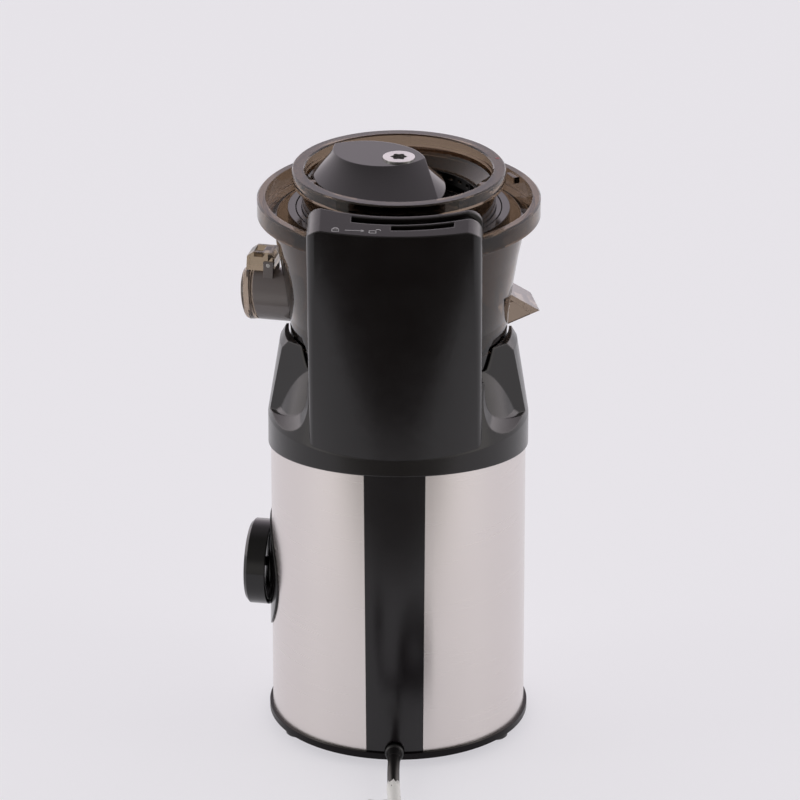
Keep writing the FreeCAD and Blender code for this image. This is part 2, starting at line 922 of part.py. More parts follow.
def make_fan(low, high):
    made = body("cooling_fan", motor_y)
    hub = size.fan_hub_radius
    bore = size.motor_shaft_radius + size.seat_gap
    turn_profile(
        made,
        [
            (bore, low),
            (hub, low),
            (hub, high - size.fan_plate),
            (size.fan_radius, high - size.fan_plate),
            (size.fan_radius, high),
            (bore, high),
        ],
    )
    blade = sketch_on(made, "XY_Plane", low)
    draw_outline(blade, [(hub - 1, -0.8), (size.fan_radius - 1, 5), (size.fan_radius - 1, 6.6), (hub - 1, 0.8)])
    repeat(made, pad(made, blade, high - low - size.fan_plate / 2), 11)


# Gear train
def case_outline(grow):
    """Plan of the gearbox: a small round end about the layshaft and a large one about the drive shaft."""
    small = size.fast_module * size.wheel_teeth / 2 + size.fast_module + size.case_gap + grow
    large = size.slow_module * size.wheel_teeth / 2 + size.slow_module + size.case_gap + grow
    return small, large


def case_solid(grow, low, high):
    small, large = case_outline(grow)
    reach = float(slow_distance)
    lean = math.asin((float(large) - float(small)) / reach)
    across, along = math.cos(lean), math.sin(lean)
    corners = []
    for side in (1, -1):
        ends = [(small, layshaft_y), (large, size.bowl_shift)][:: side]
        for radius, centre in ends:
            corners.append((side * radius * across, centre - radius * along))
    web = prism(corners, low, high)
    return joined(web, rod(small, low, high, 0, layshaft_y), rod(large, low, high, 0, size.bowl_shift))


def case_screw_places():
    small, large = case_outline(size.case_wall)
    lug = size.screw_head_radius
    places = []
    for angle in (20, 90, 160):
        reach = large + lug - 1
        places.append((reach * math.cos(math.radians(angle)),
                       size.bowl_shift + reach * math.sin(math.radians(angle))))
    for angle in (-35, -145):
        reach = small + lug - 1
        places.append((reach * math.cos(math.radians(angle)),
                       layshaft_y + reach * math.sin(math.radians(angle))))
    return places


def make_gearbox():
    foot = plate_top + size.seat_gap
    lugs = [rod(size.screw_head_radius + 1.2, foot, case_top, x, y) for x, y in case_screw_places()]
    bearing_hole = size.bearing_radius + size.seat_gap
    shell = joined(case_solid(size.case_wall, foot, case_top), *lugs)
    hollow = case_solid(0, case_floor_top, case_top + 1)
    tap = size.screw_radius + size.seat_gap
    taps = [rod(tap, case_top - 10, case_top + 1, x, y) for x, y in case_screw_places()]
    motor_hole = rod(size.motor_shaft_radius + 2, foot - 1, case_floor_top + 1, 0, motor_y)
    lower_seat = joined(
        rod(size.drive_shaft_radius + 4, case_floor_top, case_floor_top + 3, 0, size.bowl_shift),
        rod(size.gear_pin_radius + 2, case_floor_top, fast_gear_foot - size.running_gap, 0, layshaft_y),
    )
    pin_hole = rod(size.gear_pin_radius + size.seat_gap, foot + 1, case_top, 0, layshaft_y)
    drive_hole = rod(size.drive_shaft_radius + size.bearing_gap, foot + 1, case_top, 0, size.bowl_shift)
    case = shell.cut([hollow, motor_hole] + taps).fuse(lower_seat).cut([pin_hole, drive_hole])
    piece("gearbox_case", case.removeSplitter())
    low = case_top + size.seat_gap
    boss_high = low + size.cover_thickness + size.bearing_width
    holes = [rod(size.screw_radius + size.seat_gap, low - 1, low + 9, x, y) for x, y in case_screw_places()]
    cover_face = low + size.cover_thickness
    pads = [rod(size.screw_head_radius + 1.2, low, cover_face, x, y) for x, y in case_screw_places()]
    cover = joined(
        case_solid(size.case_wall, low, low + size.cover_thickness),
        rod(size.cover_boss_radius, low, boss_high, 0, size.bowl_shift),
        *pads,
    )
    seat = rod(bearing_hole, low + size.cover_thickness - size.seat_gap, boss_high + 1, 0, size.bowl_shift)
    through = rod(size.drive_shaft_radius + 2, low - 1, boss_high, 0, size.bowl_shift)
    pin_socket = rod(size.gear_pin_radius + size.seat_gap, low - 1, cover_face - 1, 0, layshaft_y)
    piece("gearbox_cover", cover.cut([seat, through, pin_socket] + holes))
    screws = []
    for x, y in case_screw_places():
        seat_height = low + size.cover_thickness + size.seat_gap
        head = rod(size.screw_head_radius, seat_height, seat_height + size.screw_head_height, x, y)
        drive = prism(hexagon(1.25, x, y), seat_height + 0.8, seat_height + size.screw_head_height + 1)
        shank = rod(size.screw_radius, case_top - 9, seat_height + 0.5, x, y)
        screws.append(joined(head, shank).cut(drive))
    piece("gearbox_screws", Part.makeCompound(screws))
    pin_low = foot + 1 + size.seat_gap
    piece("gear_pin", rod(size.gear_pin_radius, pin_low, cover_face - 1.2, 0, layshaft_y))


def hexagon(apothem, x=0.0, y=0.0):
    reach = float(apothem) / math.cos(math.pi / 6)
    return [
        (x + reach * math.cos(math.pi * k / 3), y + reach * math.sin(math.pi * k / 3))
        for k in range(6)
    ]


def make_gears():
    wheel = count(size.wheel_teeth)
    pinion = count(size.pinion_teeth)
    half_step = 180.0 / wheel
    fast = spur_gear(size.fast_module, wheel, fast_gear_foot, fast_gear_top, 90 + half_step)
    slow = spur_gear(size.slow_module, pinion, fast_gear_top - 0.5, slow_gear_top - size.running_gap, 90)
    bore = rod(size.gear_pin_radius + size.bearing_gap, fast_gear_foot - 1, case_top)
    piece("reduction_gear", joined(fast, slow).cut(bore), layshaft_y)
    output = spur_gear(size.slow_module, wheel, slow_gear_foot, slow_gear_top, -90 + half_step)
    hub = rod(size.drive_shaft_radius + 5, slow_gear_foot, slow_gear_top + 0.5)
    lightening = around(rod(8, slow_gear_foot - 1, slow_gear_top + 1, 24, 0), 6)
    key_bore = rod(size.drive_shaft_radius + size.seat_gap, slow_gear_foot - 1, slow_gear_top + 2)
    piece("output_gear", joined(output, hub).cut(lightening + [key_bore]), size.bowl_shift)
    low = plate_top + size.seat_gap + 1 + size.running_gap
    flats = size.drive_hex_flats / 2
    shaft = joined(
        rod(size.drive_shaft_radius, low, socket_foot - 0.5),
        prism(hexagon(flats), socket_foot - 1, shaft_top),
    )
    piece("drive_shaft", shaft, size.bowl_shift)
    ring_low = case_top + size.cover_thickness
    inner = size.drive_shaft_radius + size.bearing_gap
    deck_low = deck_top - size.bearing_lip
    rings = [
        tube(size.bearing_radius, inner, ring_low, ring_low + size.bearing_width),
        tube(size.bearing_radius, inner, deck_low, deck_low + size.bearing_width - size.seat_gap),
    ]
    piece("drive_bearings", Part.makeCompound(rings), size.bowl_shift)
    seal_inner = size.drive_shaft_radius + size.running_gap
    seal_low = boss_top + size.seat_gap
    turned(
        "shaft_seal",
        [
            (seal_inner, seal_low),
            (size.bearing_radius + 1, seal_low),
            (size.bearing_radius, seal_low + 0.8),
            (size.drive_shaft_radius + 3, seal_low + 1),
            (seal_inner, seal_low + 1.4),
        ],
        size.bowl_shift,
    )


# Electrical parts in the base
def make_control_parts():
    low = floor_top + size.seat_gap
    x = size.board_distance
    half = size.board_width / 2
    board = block(x, x + size.board_thickness, -half, half, low, low + size.board_height)
    parts = [
        block(x - 12, x, -half + 4, -half + 18, low + 8, low + 22),
        block(x - 9, x, -4, 8, low + 6, low + 30),
        rod(4, low + 10, low + 24, x - 4.5, half - 8),
    ]
    piece("control_board", joined(board, *parts))
    centre = 56
    body_low = low
    can = rod(size.capacitor_radius, body_low, body_low + size.capacitor_height, -centre, -6)
    piece("run_capacitor", can)
    screws = []
    for sx, sy in post_places():
        head_low = size.foot_height - size.screw_head_height
        head = rod(size.screw_head_radius, head_low, size.foot_height - 0.1, sx, sy)
        screws.append(joined(head, rod(size.screw_radius, size.foot_height - 1, low + 12, sx, sy)))
    piece("base_screws", Part.makeCompound(screws))


# Upper housing
def ring_wire(radius, y, height):
    return Part.Wire(Part.makeCircle(float(radius), point(0, y, height)))


def skewed_cone(low, high):
    """A solid between two level circles, each given as (radius, centre y, height)."""
    return Part.makeLoft([ring_wire(*low), ring_wire(*high)], True, True)


def column_outer_y(height):
    rise = (height - size.collar_shoulder_height) / (size.column_height - size.collar_shoulder_height)
    return size.column_foot_y + (size.column_top_y - size.column_foot_y) * rise


def column_arc(height):
    rise = (height - size.collar_shoulder_height) / (size.column_height - size.collar_shoulder_height)
    return size.collar_radius + (size.column_top_arc - size.collar_radius) * rise


def column_outline(height, inset):
    """The column's plan at a height: a bulged back, two rounded corners, straight flanks and an open front."""
    half = float(size.column_half_width - inset)
    corner = float(size.column_corner_radius - inset)
    arc = float(column_arc(height) - inset)
    back = -float(column_outer_y(height) - inset)
    centre = back + arc
    corner_x = half - corner
    corner_y = centre - math.sqrt((arc - corner) ** 2 - corner_x**2)
    spread = math.atan2(corner_x, centre - corner_y)
    touch_x = corner_x + corner * math.sin(spread)
    touch_y = corner_y - corner * math.cos(spread)
    lean = (spread + math.pi / 2) / 2
    middle = (corner_x + corner * math.sin(lean), corner_y - corner * math.cos(lean))
    front = -40.0
    z = float(height)

    def at(x, y):
        return Vector(x, y, z)

    return Part.Wire(
        [
            Part.LineSegment(at(half, front), at(half, corner_y)).toShape(),
            Part.Arc(at(half, corner_y), at(*middle), at(touch_x, touch_y)).toShape(),
            Part.Arc(at(touch_x, touch_y), at(0, back), at(-touch_x, touch_y)).toShape(),
            Part.Arc(at(-touch_x, touch_y), at(-middle[0], middle[1]), at(-half, corner_y)).toShape(),
            Part.LineSegment(at(-half, corner_y), at(-half, front)).toShape(),
            Part.LineSegment(at(-half, front), at(half, front)).toShape(),
        ]
    )


def column_solid(inset, low, high):
    return Part.makeLoft([column_outline(low, inset), column_outline(high, inset)], True, True)


def column_top_height(y):
    """Height of the column's sloping top at a distance y forward of the axis."""
    return size.column_height + size.column_top_slope * (y + size.column_top_y)


def above_column(lower=0.0):
    near, far = -130, -20
    wide = 90
    corners = [
        point(-wide, near, column_top_height(near) - lower),
        point(-wide, far, column_top_height(far) - lower),
        point(-wide, far, 450),
        point(-wide, near, 450),
    ]
    return polygon_face(corners).extrude(point(2 * wide, 0, 0))


def ear_web(envelope, bowl_room):
    """Fills the corner behind an ear, so that the ear runs out towards the column in one slanting face."""
    foot = size.web_foot_height
    share = (foot - size.collar_shoulder_height) / (size.ear_knee_height - size.collar_shoulder_height)
    radius = float(size.collar_radius + (size.ear_radius - size.collar_radius) * share)
    depth = float(size.ear_back + size.ear_shift * share)
    near = Vector(-math.sqrt(radius**2 - depth**2), -float(size.ear_back), float(foot))
    reach = math.sqrt(float(size.ear_radius) ** 2 - float(size.ear_back + size.ear_shift) ** 2)
    high = Vector(-reach, -float(size.ear_back), float(size.ear_knee_height))
    flank = float(size.column_half_width)
    seat_y = float(size.bowl_shift) - math.sqrt(float(size.seat_radius) ** 2 - flank**2)
    far = Vector(-flank, seat_y, float(size.seat_height))
    up = (high - near).normalize()
    outward = (far - near).cross(high - near).normalize()
    if outward.x > 0:
        outward = -outward
    side = outward.cross(up)
    wide = 200
    corners = [near + up * a + side * b for a, b in ((-wide, -wide), (wide, -wide), (wide, wide), (-wide, wide))]
    beyond = polygon_face(corners).extrude(outward * wide)
    room = block(-wide, 0, seat_y, 0.5 - size.ear_back, size.collar_shoulder_height, 300)
    left = envelope.common(room).cut([bowl_room, beyond])
    return [left, left.mirror(Vector(0, 0, 0), Vector(1, 0, 0))]


def crown_tools(inset):
    """What is cut off the column's two upper shoulders, so that they are round along the top's slope."""
    radius = float(size.column_crown_radius - inset)
    x = float(size.column_half_width - size.column_crown_centre)
    drop = float(size.column_crown_centre)
    near, far = -130.0, -20.0
    z = float(column_top_height(near)) - drop
    beyond = 30.0
    slant = radius / math.sqrt(2)

    def at(across, up):
        return Vector(x + across, near, z + up)

    rounding = Part.Arc(at(0, radius), at(slant, slant), at(radius, 0)).toShape()
    corners = [at(radius, 0), at(beyond, 0), at(beyond, beyond), at(0, beyond), at(0, radius)]
    outline = Part.Wire([rounding] + Part.makePolygon(corners).Edges)
    run = Vector(0, far - near, float(size.column_top_slope) * (far - near))
    right = Part.Face(outline).extrude(run)
    return [right, right.mirror(Vector(0, 0, 0), Vector(1, 0, 0))]


def cover_band(gap):
    """The curved panel that closes the column's front, grown by a gap for the room that it needs."""
    arc = size.column_inner_arc
    centre = arc - size.column_inner_y
    low = deck_top + size.seat_gap - gap
    half = size.column_half_width - size.column_wall - 4 * size.seat_gap + gap
    shell = tube(arc + size.column_cover_wall + gap, arc + size.seat_gap - gap, low, 400, 0, centre)
    return shell.common(block(-half, half, -140, -40, low, 400))


def pocket_tool(side):
    """The scoop between the column and an ear, with its wide bevelled lip, seen along a line 50 degrees off
    the back. Each corner is (across, height), first at the lip and then at the floor of the scoop."""
    lip = [(42, 204.6), (17, 206.4), (4, 209.6), (-6, 214.4), (-14, 222.6), (-18, 231.5), (-17, 244), (-12, 262)]
    floor = [(42, 209.6), (20, 212.6), (11, 216), (5, 220), (1, 226), (-1, 234), (-1.5, 244), (-1.5, 262)]
    depth_lip, depth_floor, depth_end = 79.0, 71.0, 45.0
    overshoot = 0.6
    wide = [(a + (a - c) * overshoot, b + (b - d) * overshoot) for (a, b), (c, d) in zip(lip, floor)]
    wide_depth = depth_lip + (depth_lip - depth_floor) * overshoot
    angle = math.radians(50)
    ahead = Vector(-math.sin(angle), -math.cos(angle), 0)
    across = Vector(-math.cos(angle), math.sin(angle), 0)

    def section(corners, depth):
        spots = [ahead * depth + across * a + Vector(0, 0, b) for a, b in corners]
        edge = Part.BSplineCurve()
        edge.interpolate(spots)
        far_corner = ahead * depth + across * corners[0][0] + Vector(0, 0, corners[-1][1])
        closing = Part.makePolygon([spots[-1], far_corner, spots[0]])
        return Part.Wire([edge.toShape()] + closing.Edges)

    lip_part = Part.makeLoft([section(wide, wide_depth), section(floor, depth_floor)], True, True)
    deep_part = Part.makeLoft([section(floor, depth_floor + 0.01), section(floor, depth_end)], True, True)
    tool = lip_part.fuse(deep_part)
    return tool if side < 0 else tool.mirror(Vector(0, 0, 0), Vector(1, 0, 0))


def make_upper_housing():
    shoulder = (size.collar_radius, 0, size.collar_shoulder_height)
    waist = (size.waist_radius, size.waist_shift, size.waist_height)
    seat = (size.seat_radius, size.bowl_shift, size.seat_height)
    low = edge_height(size.collar_radius) - 6
    collar = rod(size.collar_radius, low, size.collar_shoulder_height)
    bevel = skewed_cone(shoulder, waist)
    cone = skewed_cone(waist, seat)
    knee = (size.ear_radius, size.ear_shift, size.ear_knee_height)
    tip = (size.ear_tip_radius, size.ear_shift, size.ear_top_height)
    ear_envelope = joined(skewed_cone(shoulder, knee), skewed_cone(knee, tip))
    bowl_room = rod(size.bowl_foot_radius + 2.8 * size.running_gap, deck_top, 300, 0, size.bowl_shift)
    wide = 2 * size.flange_radius
    ears = ear_envelope.common(
        block(-wide, wide, -size.ear_back, size.ear_front, size.collar_shoulder_height, 300)
    )
    ears = ears.cut(bowl_room)
    flare = ear_envelope.common(
        block(-wide, wide, -wide, 0.5 - size.ear_back, size.collar_shoulder_height, size.seat_height)
    )
    flare = flare.cut([pocket_tool(-1), pocket_tool(1)])
    column = column_solid(0, size.collar_shoulder_height - 5, size.column_height + 12).cut(above_column())
    front_arc = rod(
        size.column_inner_arc, size.seat_height, 450, 0, size.column_inner_arc - size.column_inner_y
    )
    column = column.cut([front_arc] + crown_tools(0))
    outside = joined(collar, bevel, cone, ears, flare, column, *ear_web(ear_envelope, bowl_room))

    wall = size.collar_wall
    void = joined(
        rod(size.collar_radius - wall, low - 1, size.collar_shoulder_height - 1),
        skewed_cone(
            (size.collar_radius - wall, 0, size.collar_shoulder_height - 1),
            (size.waist_radius - wall, size.waist_shift, size.waist_height - 1),
        ),
        skewed_cone(
            (size.waist_radius - wall, size.waist_shift, size.waist_height - 1),
            (size.seat_radius - wall, size.bowl_shift, deck_foot),
        ),
    )
    column_void = column_solid(size.column_wall, size.collar_shoulder_height - 4, size.column_height + 12)
    column_void = column_void.cut([above_column(size.slot_depth)] + crown_tools(size.column_wall))
    lower_back = block(-wide, wide, -wide, -float(size.column_inner_y) + 14, 150, deck_foot)
    upper_back = block(-wide, wide, -wide, -30, deck_foot - 1, 450).cut(
        rod(size.seat_radius - wall, 150, size.seat_height, 0, size.bowl_shift)
    )
    column_void = column_void.common(lower_back.fuse(upper_back))
    cover_room = cover_band(size.seat_gap).cut([above_column(size.slot_depth)] + crown_tools(size.column_wall))
    housing = outside.cut([void, column_void, cover_room])

    tongue_top = edge_height(size.collar_radius) + 4
    tongue = tube(
        sleeve_bore - size.seat_gap,
        sleeve_bore - size.seat_gap - wall,
        edge_height(size.collar_radius) - size.tongue_depth,
        tongue_top + 18,
    )
    housing = housing.cut(below_edge()).fuse(tongue.cut(above_edge(-6)))
    boss = rod(size.deck_boss_radius, deck_foot, boss_top, 0, size.bowl_shift)
    bearing_seat = rod(
        size.bearing_radius + size.seat_gap, deck_top - size.bearing_lip, boss_top, 0, size.bowl_shift
    )
    shaft_hole = rod(size.drive_shaft_radius + 2, deck_foot - 1, boss_top + 1, 0, size.bowl_shift)
    lid_hole = rod(size.bearing_radius - 2, boss_top - 2, boss_top + 1, 0, size.bowl_shift)
    housing = housing.fuse(boss).cut([bearing_seat, shaft_hole, lid_hole] + column_slots())
    piece("upper_housing", housing.removeSplitter())


def below_edge():
    far = size.flange_radius + 20
    corners = [
        point(-far, -far, edge_height(-far)),
        point(-far, far, edge_height(far)),
        point(-far, far, 100),
        point(-far, -far, 100),
    ]
    return polygon_face(corners).extrude(point(2 * far, 0, 0))


def column_slots():
    """Two arched slots in the column's top for the lid's hooks, and the groove down its right side."""
    arc = size.column_inner_arc
    centre = size.column_inner_arc - size.column_inner_y
    slot_low = size.column_height - size.hook_slot_depth
    groove_low = size.column_height - size.hook_groove_depth
    high = size.column_height + 40
    first = tube(arc + 9.2, arc + 2.6, groove_low, high, 0, centre)
    second = tube(arc + 15.6, arc + 10.4, groove_low, high, 0, centre)
    return [
        first.common(block(-25.5, 42.5, -130, -40, slot_low, high)),
        second.common(block(-1.8, 35.5, -130, -40, slot_low, high)),
        first.common(block(42, 60, -130, -40, groove_low, high)),
    ]


def make_column_cover():
    trim = [above_column(size.slot_depth + size.seat_gap)] + crown_tools(size.column_wall + size.seat_gap)
    piece("column_cover", cover_band(0).cut(trim))


# Interlock in the column
def make_interlock():
    x, y = size.plunger_x, -size.plunger_y
    plunger_top = column_top_height(y) - size.plunger_depth
    foot = plunger_top - size.plunger_length
    collar_low = foot + 10
    half = size.bracket_half_width
    bracket_low = foot - size.plunger_travel - size.running_gap
    bracket_top = collar_low + 6
    bore = size.plunger_radius + size.running_gap
    cage = size.plunger_collar_radius + size.running_gap
    bracket = block(x - half, x + half, y - 5.2, y + 4.5, bracket_low, bracket_top)
    cage_low = foot + 1
    bracket = bracket.cut(
        [rod(bore, bracket_low - 1, bracket_top + 1, x, y), rod(cage, cage_low, collar_low + 4.5, x, y)]
    )
    piece("interlock_bracket", bracket)
    plunger = joined(
        rod(size.plunger_radius, foot, plunger_top, x, y),
        rod(size.plunger_collar_radius, collar_low, collar_low + 3, x, y),
    )
    piece("interlock_plunger", plunger)
    wire = size.spring_wire_radius
    spring_low = cage_low + wire + size.seat_gap
    spring_high = collar_low - wire - size.seat_gap
    height = float(spring_high - spring_low)
    helix = Part.makeHelix(height / float(size.spring_turns), height, float(size.spring_radius))
    start = helix.Edges[0].valueAt(helix.Edges[0].FirstParameter)
    section = Part.Wire(Part.makeCircle(float(wire), start, Vector(0, 1, 0)))
    coil = Part.Wire(helix.Edges).makePipeShell([section], True, True)
    piece("interlock_spring", moved(coil, x, y, spring_low))
    top = bracket_low - size.seat_gap
    switch = joined(
        block(x - half + 1, x + half - 1, y - 4, y + 4, top - 12, top),
        block(x - 5, x - 4, y - 2, y + 2, top - 17, top - 11),
        block(x + 4, x + 5, y - 2, y + 2, top - 17, top - 11),
    )
    piece("interlock_switch", switch)


# Bowl
def bowl_profile():
    foot, floor = size.bowl_foot_radius, size.bowl_floor_height
    wall = size.bowl_wall
    throat, throat_height = size.bowl_throat_radius, size.bowl_throat_height
    rim_foot = size.rim_top - size.rim_height
    knee_height = floor + 13.4
    low_mid, high_mid = floor + 32.4, floor + 52.4
    low_radius = foot + 3.4
    high_radius = foot + 6.8
    return [
        (size.floor_hole_radius, floor),
        (foot, floor),
        (foot + 0.5, knee_height),
        (low_radius, low_mid),
        (high_radius, high_mid),
        (throat, throat_height),
        (size.rim_radius - 3.5, rim_foot),
        (size.rim_radius, rim_foot),
        (size.rim_radius, size.rim_top - 1),
        (size.rim_radius - 1, size.rim_top),
        (size.rim_radius - size.rim_wall, size.rim_top),
        (size.rim_radius - size.rim_wall, size.ledge_height),
        (size.ledge_radius, size.ledge_height),
        (size.ledge_radius, size.ledge_height - size.ledge_thickness),
        (high_radius - wall, high_mid),
        (low_radius - wall, low_mid),
        (foot + 0.5 - wall, knee_height),
        (foot - wall, bowl_floor_top),
        (size.floor_hole_radius, bowl_floor_top),
    ]


def make_bowl():
    shell = spun(bowl_profile())
    stem_start = size.bowl_foot_radius - 4
    stem = spout_frame(rod(size.spout_tube_radius, stem_start, size.spout_mouth + 4))
    bore = spout_frame(rod(size.spout_bore, stem_start - 14, size.spout_mouth + 9))
    inner_room = spun(
        [
            (0, bowl_floor_top),
            (size.bowl_foot_radius - size.bowl_wall, bowl_floor_top),
            (size.bowl_foot_radius + 0.5 - size.bowl_wall, size.bowl_floor_height + 13.4),
            (size.bowl_foot_radius + 3.4 - size.bowl_wall, size.bowl_floor_height + 32.4),
            (0, size.bowl_floor_height + 32.4),
        ]
    )
    stem = stem.cut(inner_room).cut(mouth_side(0.0))
    rim_inner = size.rim_radius - size.rim_wall
    lug = block(rim_inner - 4, rim_inner + 3, -5, 5, size.rim_top - 5, size.rim_top - 1)
    lug = turned_by(lug, size.rim_lug_angle)
    pulp_gap = block(
        size.bowl_foot_radius - 8, size.bowl_foot_radius + 8,
        -size.chute_half_width + 4, size.chute_half_width - 4,
        bowl_floor_top + 2, size.chute_top_height - 4,
    )
    pulp_gap = turned_by(pulp_gap, size.chute_angle)
    pegs = [
        turned_by(rod(size.peg_radius, bowl_floor_top - 1, size.strainer_floor_height - size.running_gap,
                      0, size.peg_ring_radius), 90 * k)
        for k in (1, 2, 3)
    ]
    pin = rod(size.idler_pin_radius, bowl_floor_top - 1, brush_gear_top, 0, idler_distance)
    bowl = joined(shell, stem, lug, pin, *pegs).cut([bore, pulp_gap])
    piece("bowl", bowl, size.bowl_shift)
    low = deck_top + size.running_gap
    high = size.bowl_floor_height - size.seat_gap
    outer = size.bowl_foot_radius
    turned(
        "bowl_base_ring",
        [
            (outer - size.base_ring_wall, low),
            (outer - 0.6, low),
            (outer, low + 0.6),
            (outer, high),
            (outer - size.base_ring_wall, high),
        ],
        size.bowl_shift,
    )
    inner = size.drive_shaft_radius + size.running_gap
    turned(
        "bowl_centre_seal",
        [
            (inner, size.bowl_floor_height - 1.5),
            (size.floor_hole_radius + 2, size.bowl_floor_height - 1.5),
            (size.floor_hole_radius + 2, size.bowl_floor_height - size.seat_gap),
            (size.floor_hole_radius - size.seat_gap, size.bowl_floor_height - size.seat_gap),
            (size.floor_hole_radius - size.seat_gap, bowl_floor_top),
            (inner, bowl_floor_top),
        ],
        size.bowl_shift,
    )


def spout_frame(shape):
    return aimed(shape, size.spout_angle, size.spout_height)


def mouth_side(beyond):
    """Everything past the slanted mouth of the spout, moved outwards by beyond."""
    slab = block(-60, 60, -60, 60, 0, 60)
    slab.rotate(Vector(0, 0, 0), Vector(0, 1, 0), -float(size.spout_mouth_tilt))
    slab.translate(point(0, 0, size.spout_mouth + beyond))
    return aimed(slab, size.spout_angle, size.spout_height)


def make_spout():
    # Built along the spout's own line: local z runs out of the bowl and local x points up.
    sleeve = rod(size.spout_radius, size.bowl_foot_radius - 2, size.spout_mouth + 10)
    sleeve = sleeve.cut(rod(size.spout_tube_radius + size.seat_gap, 0, 200))
    sleeve = spout_frame(sleeve).cut([mouth_side(-size.running_gap), grown_wall()])
    ear_reach = size.spout_radius + size.spout_pin_rise
    pin_at = size.spout_mouth - size.spout_pin_back
    ears = []
    for side in (-1, 1):
        y0 = side * (size.lever_half_width + size.running_gap)
        y1 = y0 + side * 2
        cheek = block(size.spout_radius - 3, ear_reach + 2.2, min(y0, y1, key=float), max(y0, y1, key=float),
                      pin_at - 3, pin_at + 3)
        ears.append(cheek)
    pin_hole = Part.makeCylinder(
        float(size.spout_pin_radius + size.bearing_gap), 40, point(ear_reach, -20, pin_at), Vector(0, 1, 0)
    )
    room = rod(size.spout_tube_radius + size.seat_gap, 0, 200)
    sleeve = joined(sleeve, *[spout_frame(ear.cut(room)) for ear in ears]).cut(spout_frame(pin_hole))
    piece("spout_sleeve", sleeve, size.bowl_shift)
    reach = size.lever_half_width + size.running_gap + 2
    pin = Part.makeCylinder(
        float(size.spout_pin_radius), float(2 * reach), point(ear_reach, -reach, pin_at), Vector(0, 1, 0)
    )
    piece("spout_pin", spout_frame(pin), size.bowl_shift)
    make_spout_cap(pin_at, pin_hole)


def grown_wall():
    """The bowl's outside, a seat gap larger, that the spout's sleeve is fitted round."""
    return spun(
        [(r + size.seat_gap, z) for r, z in bowl_profile()[1:7]]
        + [(0, size.rim_top), (0, size.bowl_floor_height)]
    )


def make_spout_cap(pin_at, pin_hole):
    edge = size.spout_cap_edge
    depth = size.spout_cap_depth
    profile = [
        (0, 0),
        (size.spout_radius, 0),
        (size.spout_radius, depth - edge),
        (size.spout_radius - 0.3 * edge, depth - 0.3 * edge),
        (size.spout_radius - edge, depth),
        (0, depth),
    ]
    cap = spun(profile)
    nub = Part.makeSphere(1.6, point(size.spout_radius * 0.35, 0, depth))
    seal_inner, seal_outer = size.spout_bore - 1, size.spout_tube_radius
    groove = tube(seal_outer + size.seat_gap, seal_inner - size.seat_gap, -1, 1.6)
    cap = joined(cap, nub).cut(groove)
    cap.rotate(Vector(0, 0, 0), Vector(0, 1, 0), -float(size.spout_mouth_tilt))
    cap.translate(point(0, 0, size.spout_mouth + size.running_gap))
    piece("spout_cap", spout_frame(cap), size.bowl_shift)
    ring = tube(seal_outer, seal_inner, -0.2, 1.5)
    ring.rotate(Vector(0, 0, 0), Vector(0, 1, 0), -float(size.spout_mouth_tilt))
    ring.translate(point(0, 0, size.spout_mouth + size.running_gap))
    piece("spout_seal", spout_frame(ring), size.bowl_shift)
    half = size.lever_half_width
    low = size.spout_radius + 2 * size.running_gap
    start = pin_at - 3.6
    front = size.spout_mouth + size.running_gap + depth
    outline = [
        (low, pin_at - 1),
        (low + 1.5, start + 0.4),
        (low + 8, start),
        (low + size.lever_height, start + 1.6),
        (low + size.lever_height, front - 6),
        (low + size.lever_height - 3, front - 2),
        (low, front - 1.5),
    ]
    face = polygon_face([point(x, -half, z) for x, z in outline])
    lever = face.extrude(point(0, 2 * half, 0))
    hollow = block(low + 3.2 + size.spout_pin_rise, low + size.lever_height + 1, -half + 2, half - 2,
                   pin_at + 4, front - 6)
    piece("spout_lever", spout_frame(lever.cut([pin_hole, hollow])), size.bowl_shift)


def make_chute():
    half = size.chute_half_width
    wall = size.chute_wall
    inner = size.bowl_foot_radius - 6
    tip, tip_height = size.chute_tip, size.chute_tip_height

    def hood(inset, sideways):
        corners = [
            (inner, size.chute_foot_height - inset * 3),
            (tip - inset * 1.4, tip_height - inset * 2.2),
            (inner, size.chute_top_height + 4.6 - inset * 1.4),
        ]
        face = polygon_face([point(x, -half + sideways, z) for x, z in corners])
        return face.extrude(point(0, 2 * (half - sideways), 0))

    outer = hood(0, 0)
    room = hood(wall, wall)
    below = polygon_face(
        [
            point(inner - 5, -half + wall, size.chute_foot_height - 4),
            point(tip + 8, -half + wall, tip_height + 2),
            point(tip + 8, -half + wall, size.chute_foot_height - 30),
            point(inner - 5, -half + wall, size.chute_foot_height - 30),
        ]
    ).extrude(point(0, 2 * (half - wall), 0))
    chute = turned_by(outer.cut([room, below.common(room)]), size.chute_angle).cut(grown_wall())
    piece("pulp_chute", chute, size.bowl_shift)
    plug = block(size.bowl_foot_radius - 20, size.bowl_foot_radius - 12.5, -8, 8,
                 size.bowl_floor_height - 3, size.bowl_floor_height - size.seat_gap)
    piece("pulp_plug", turned_by(plug, size.chute_angle), size.bowl_shift)


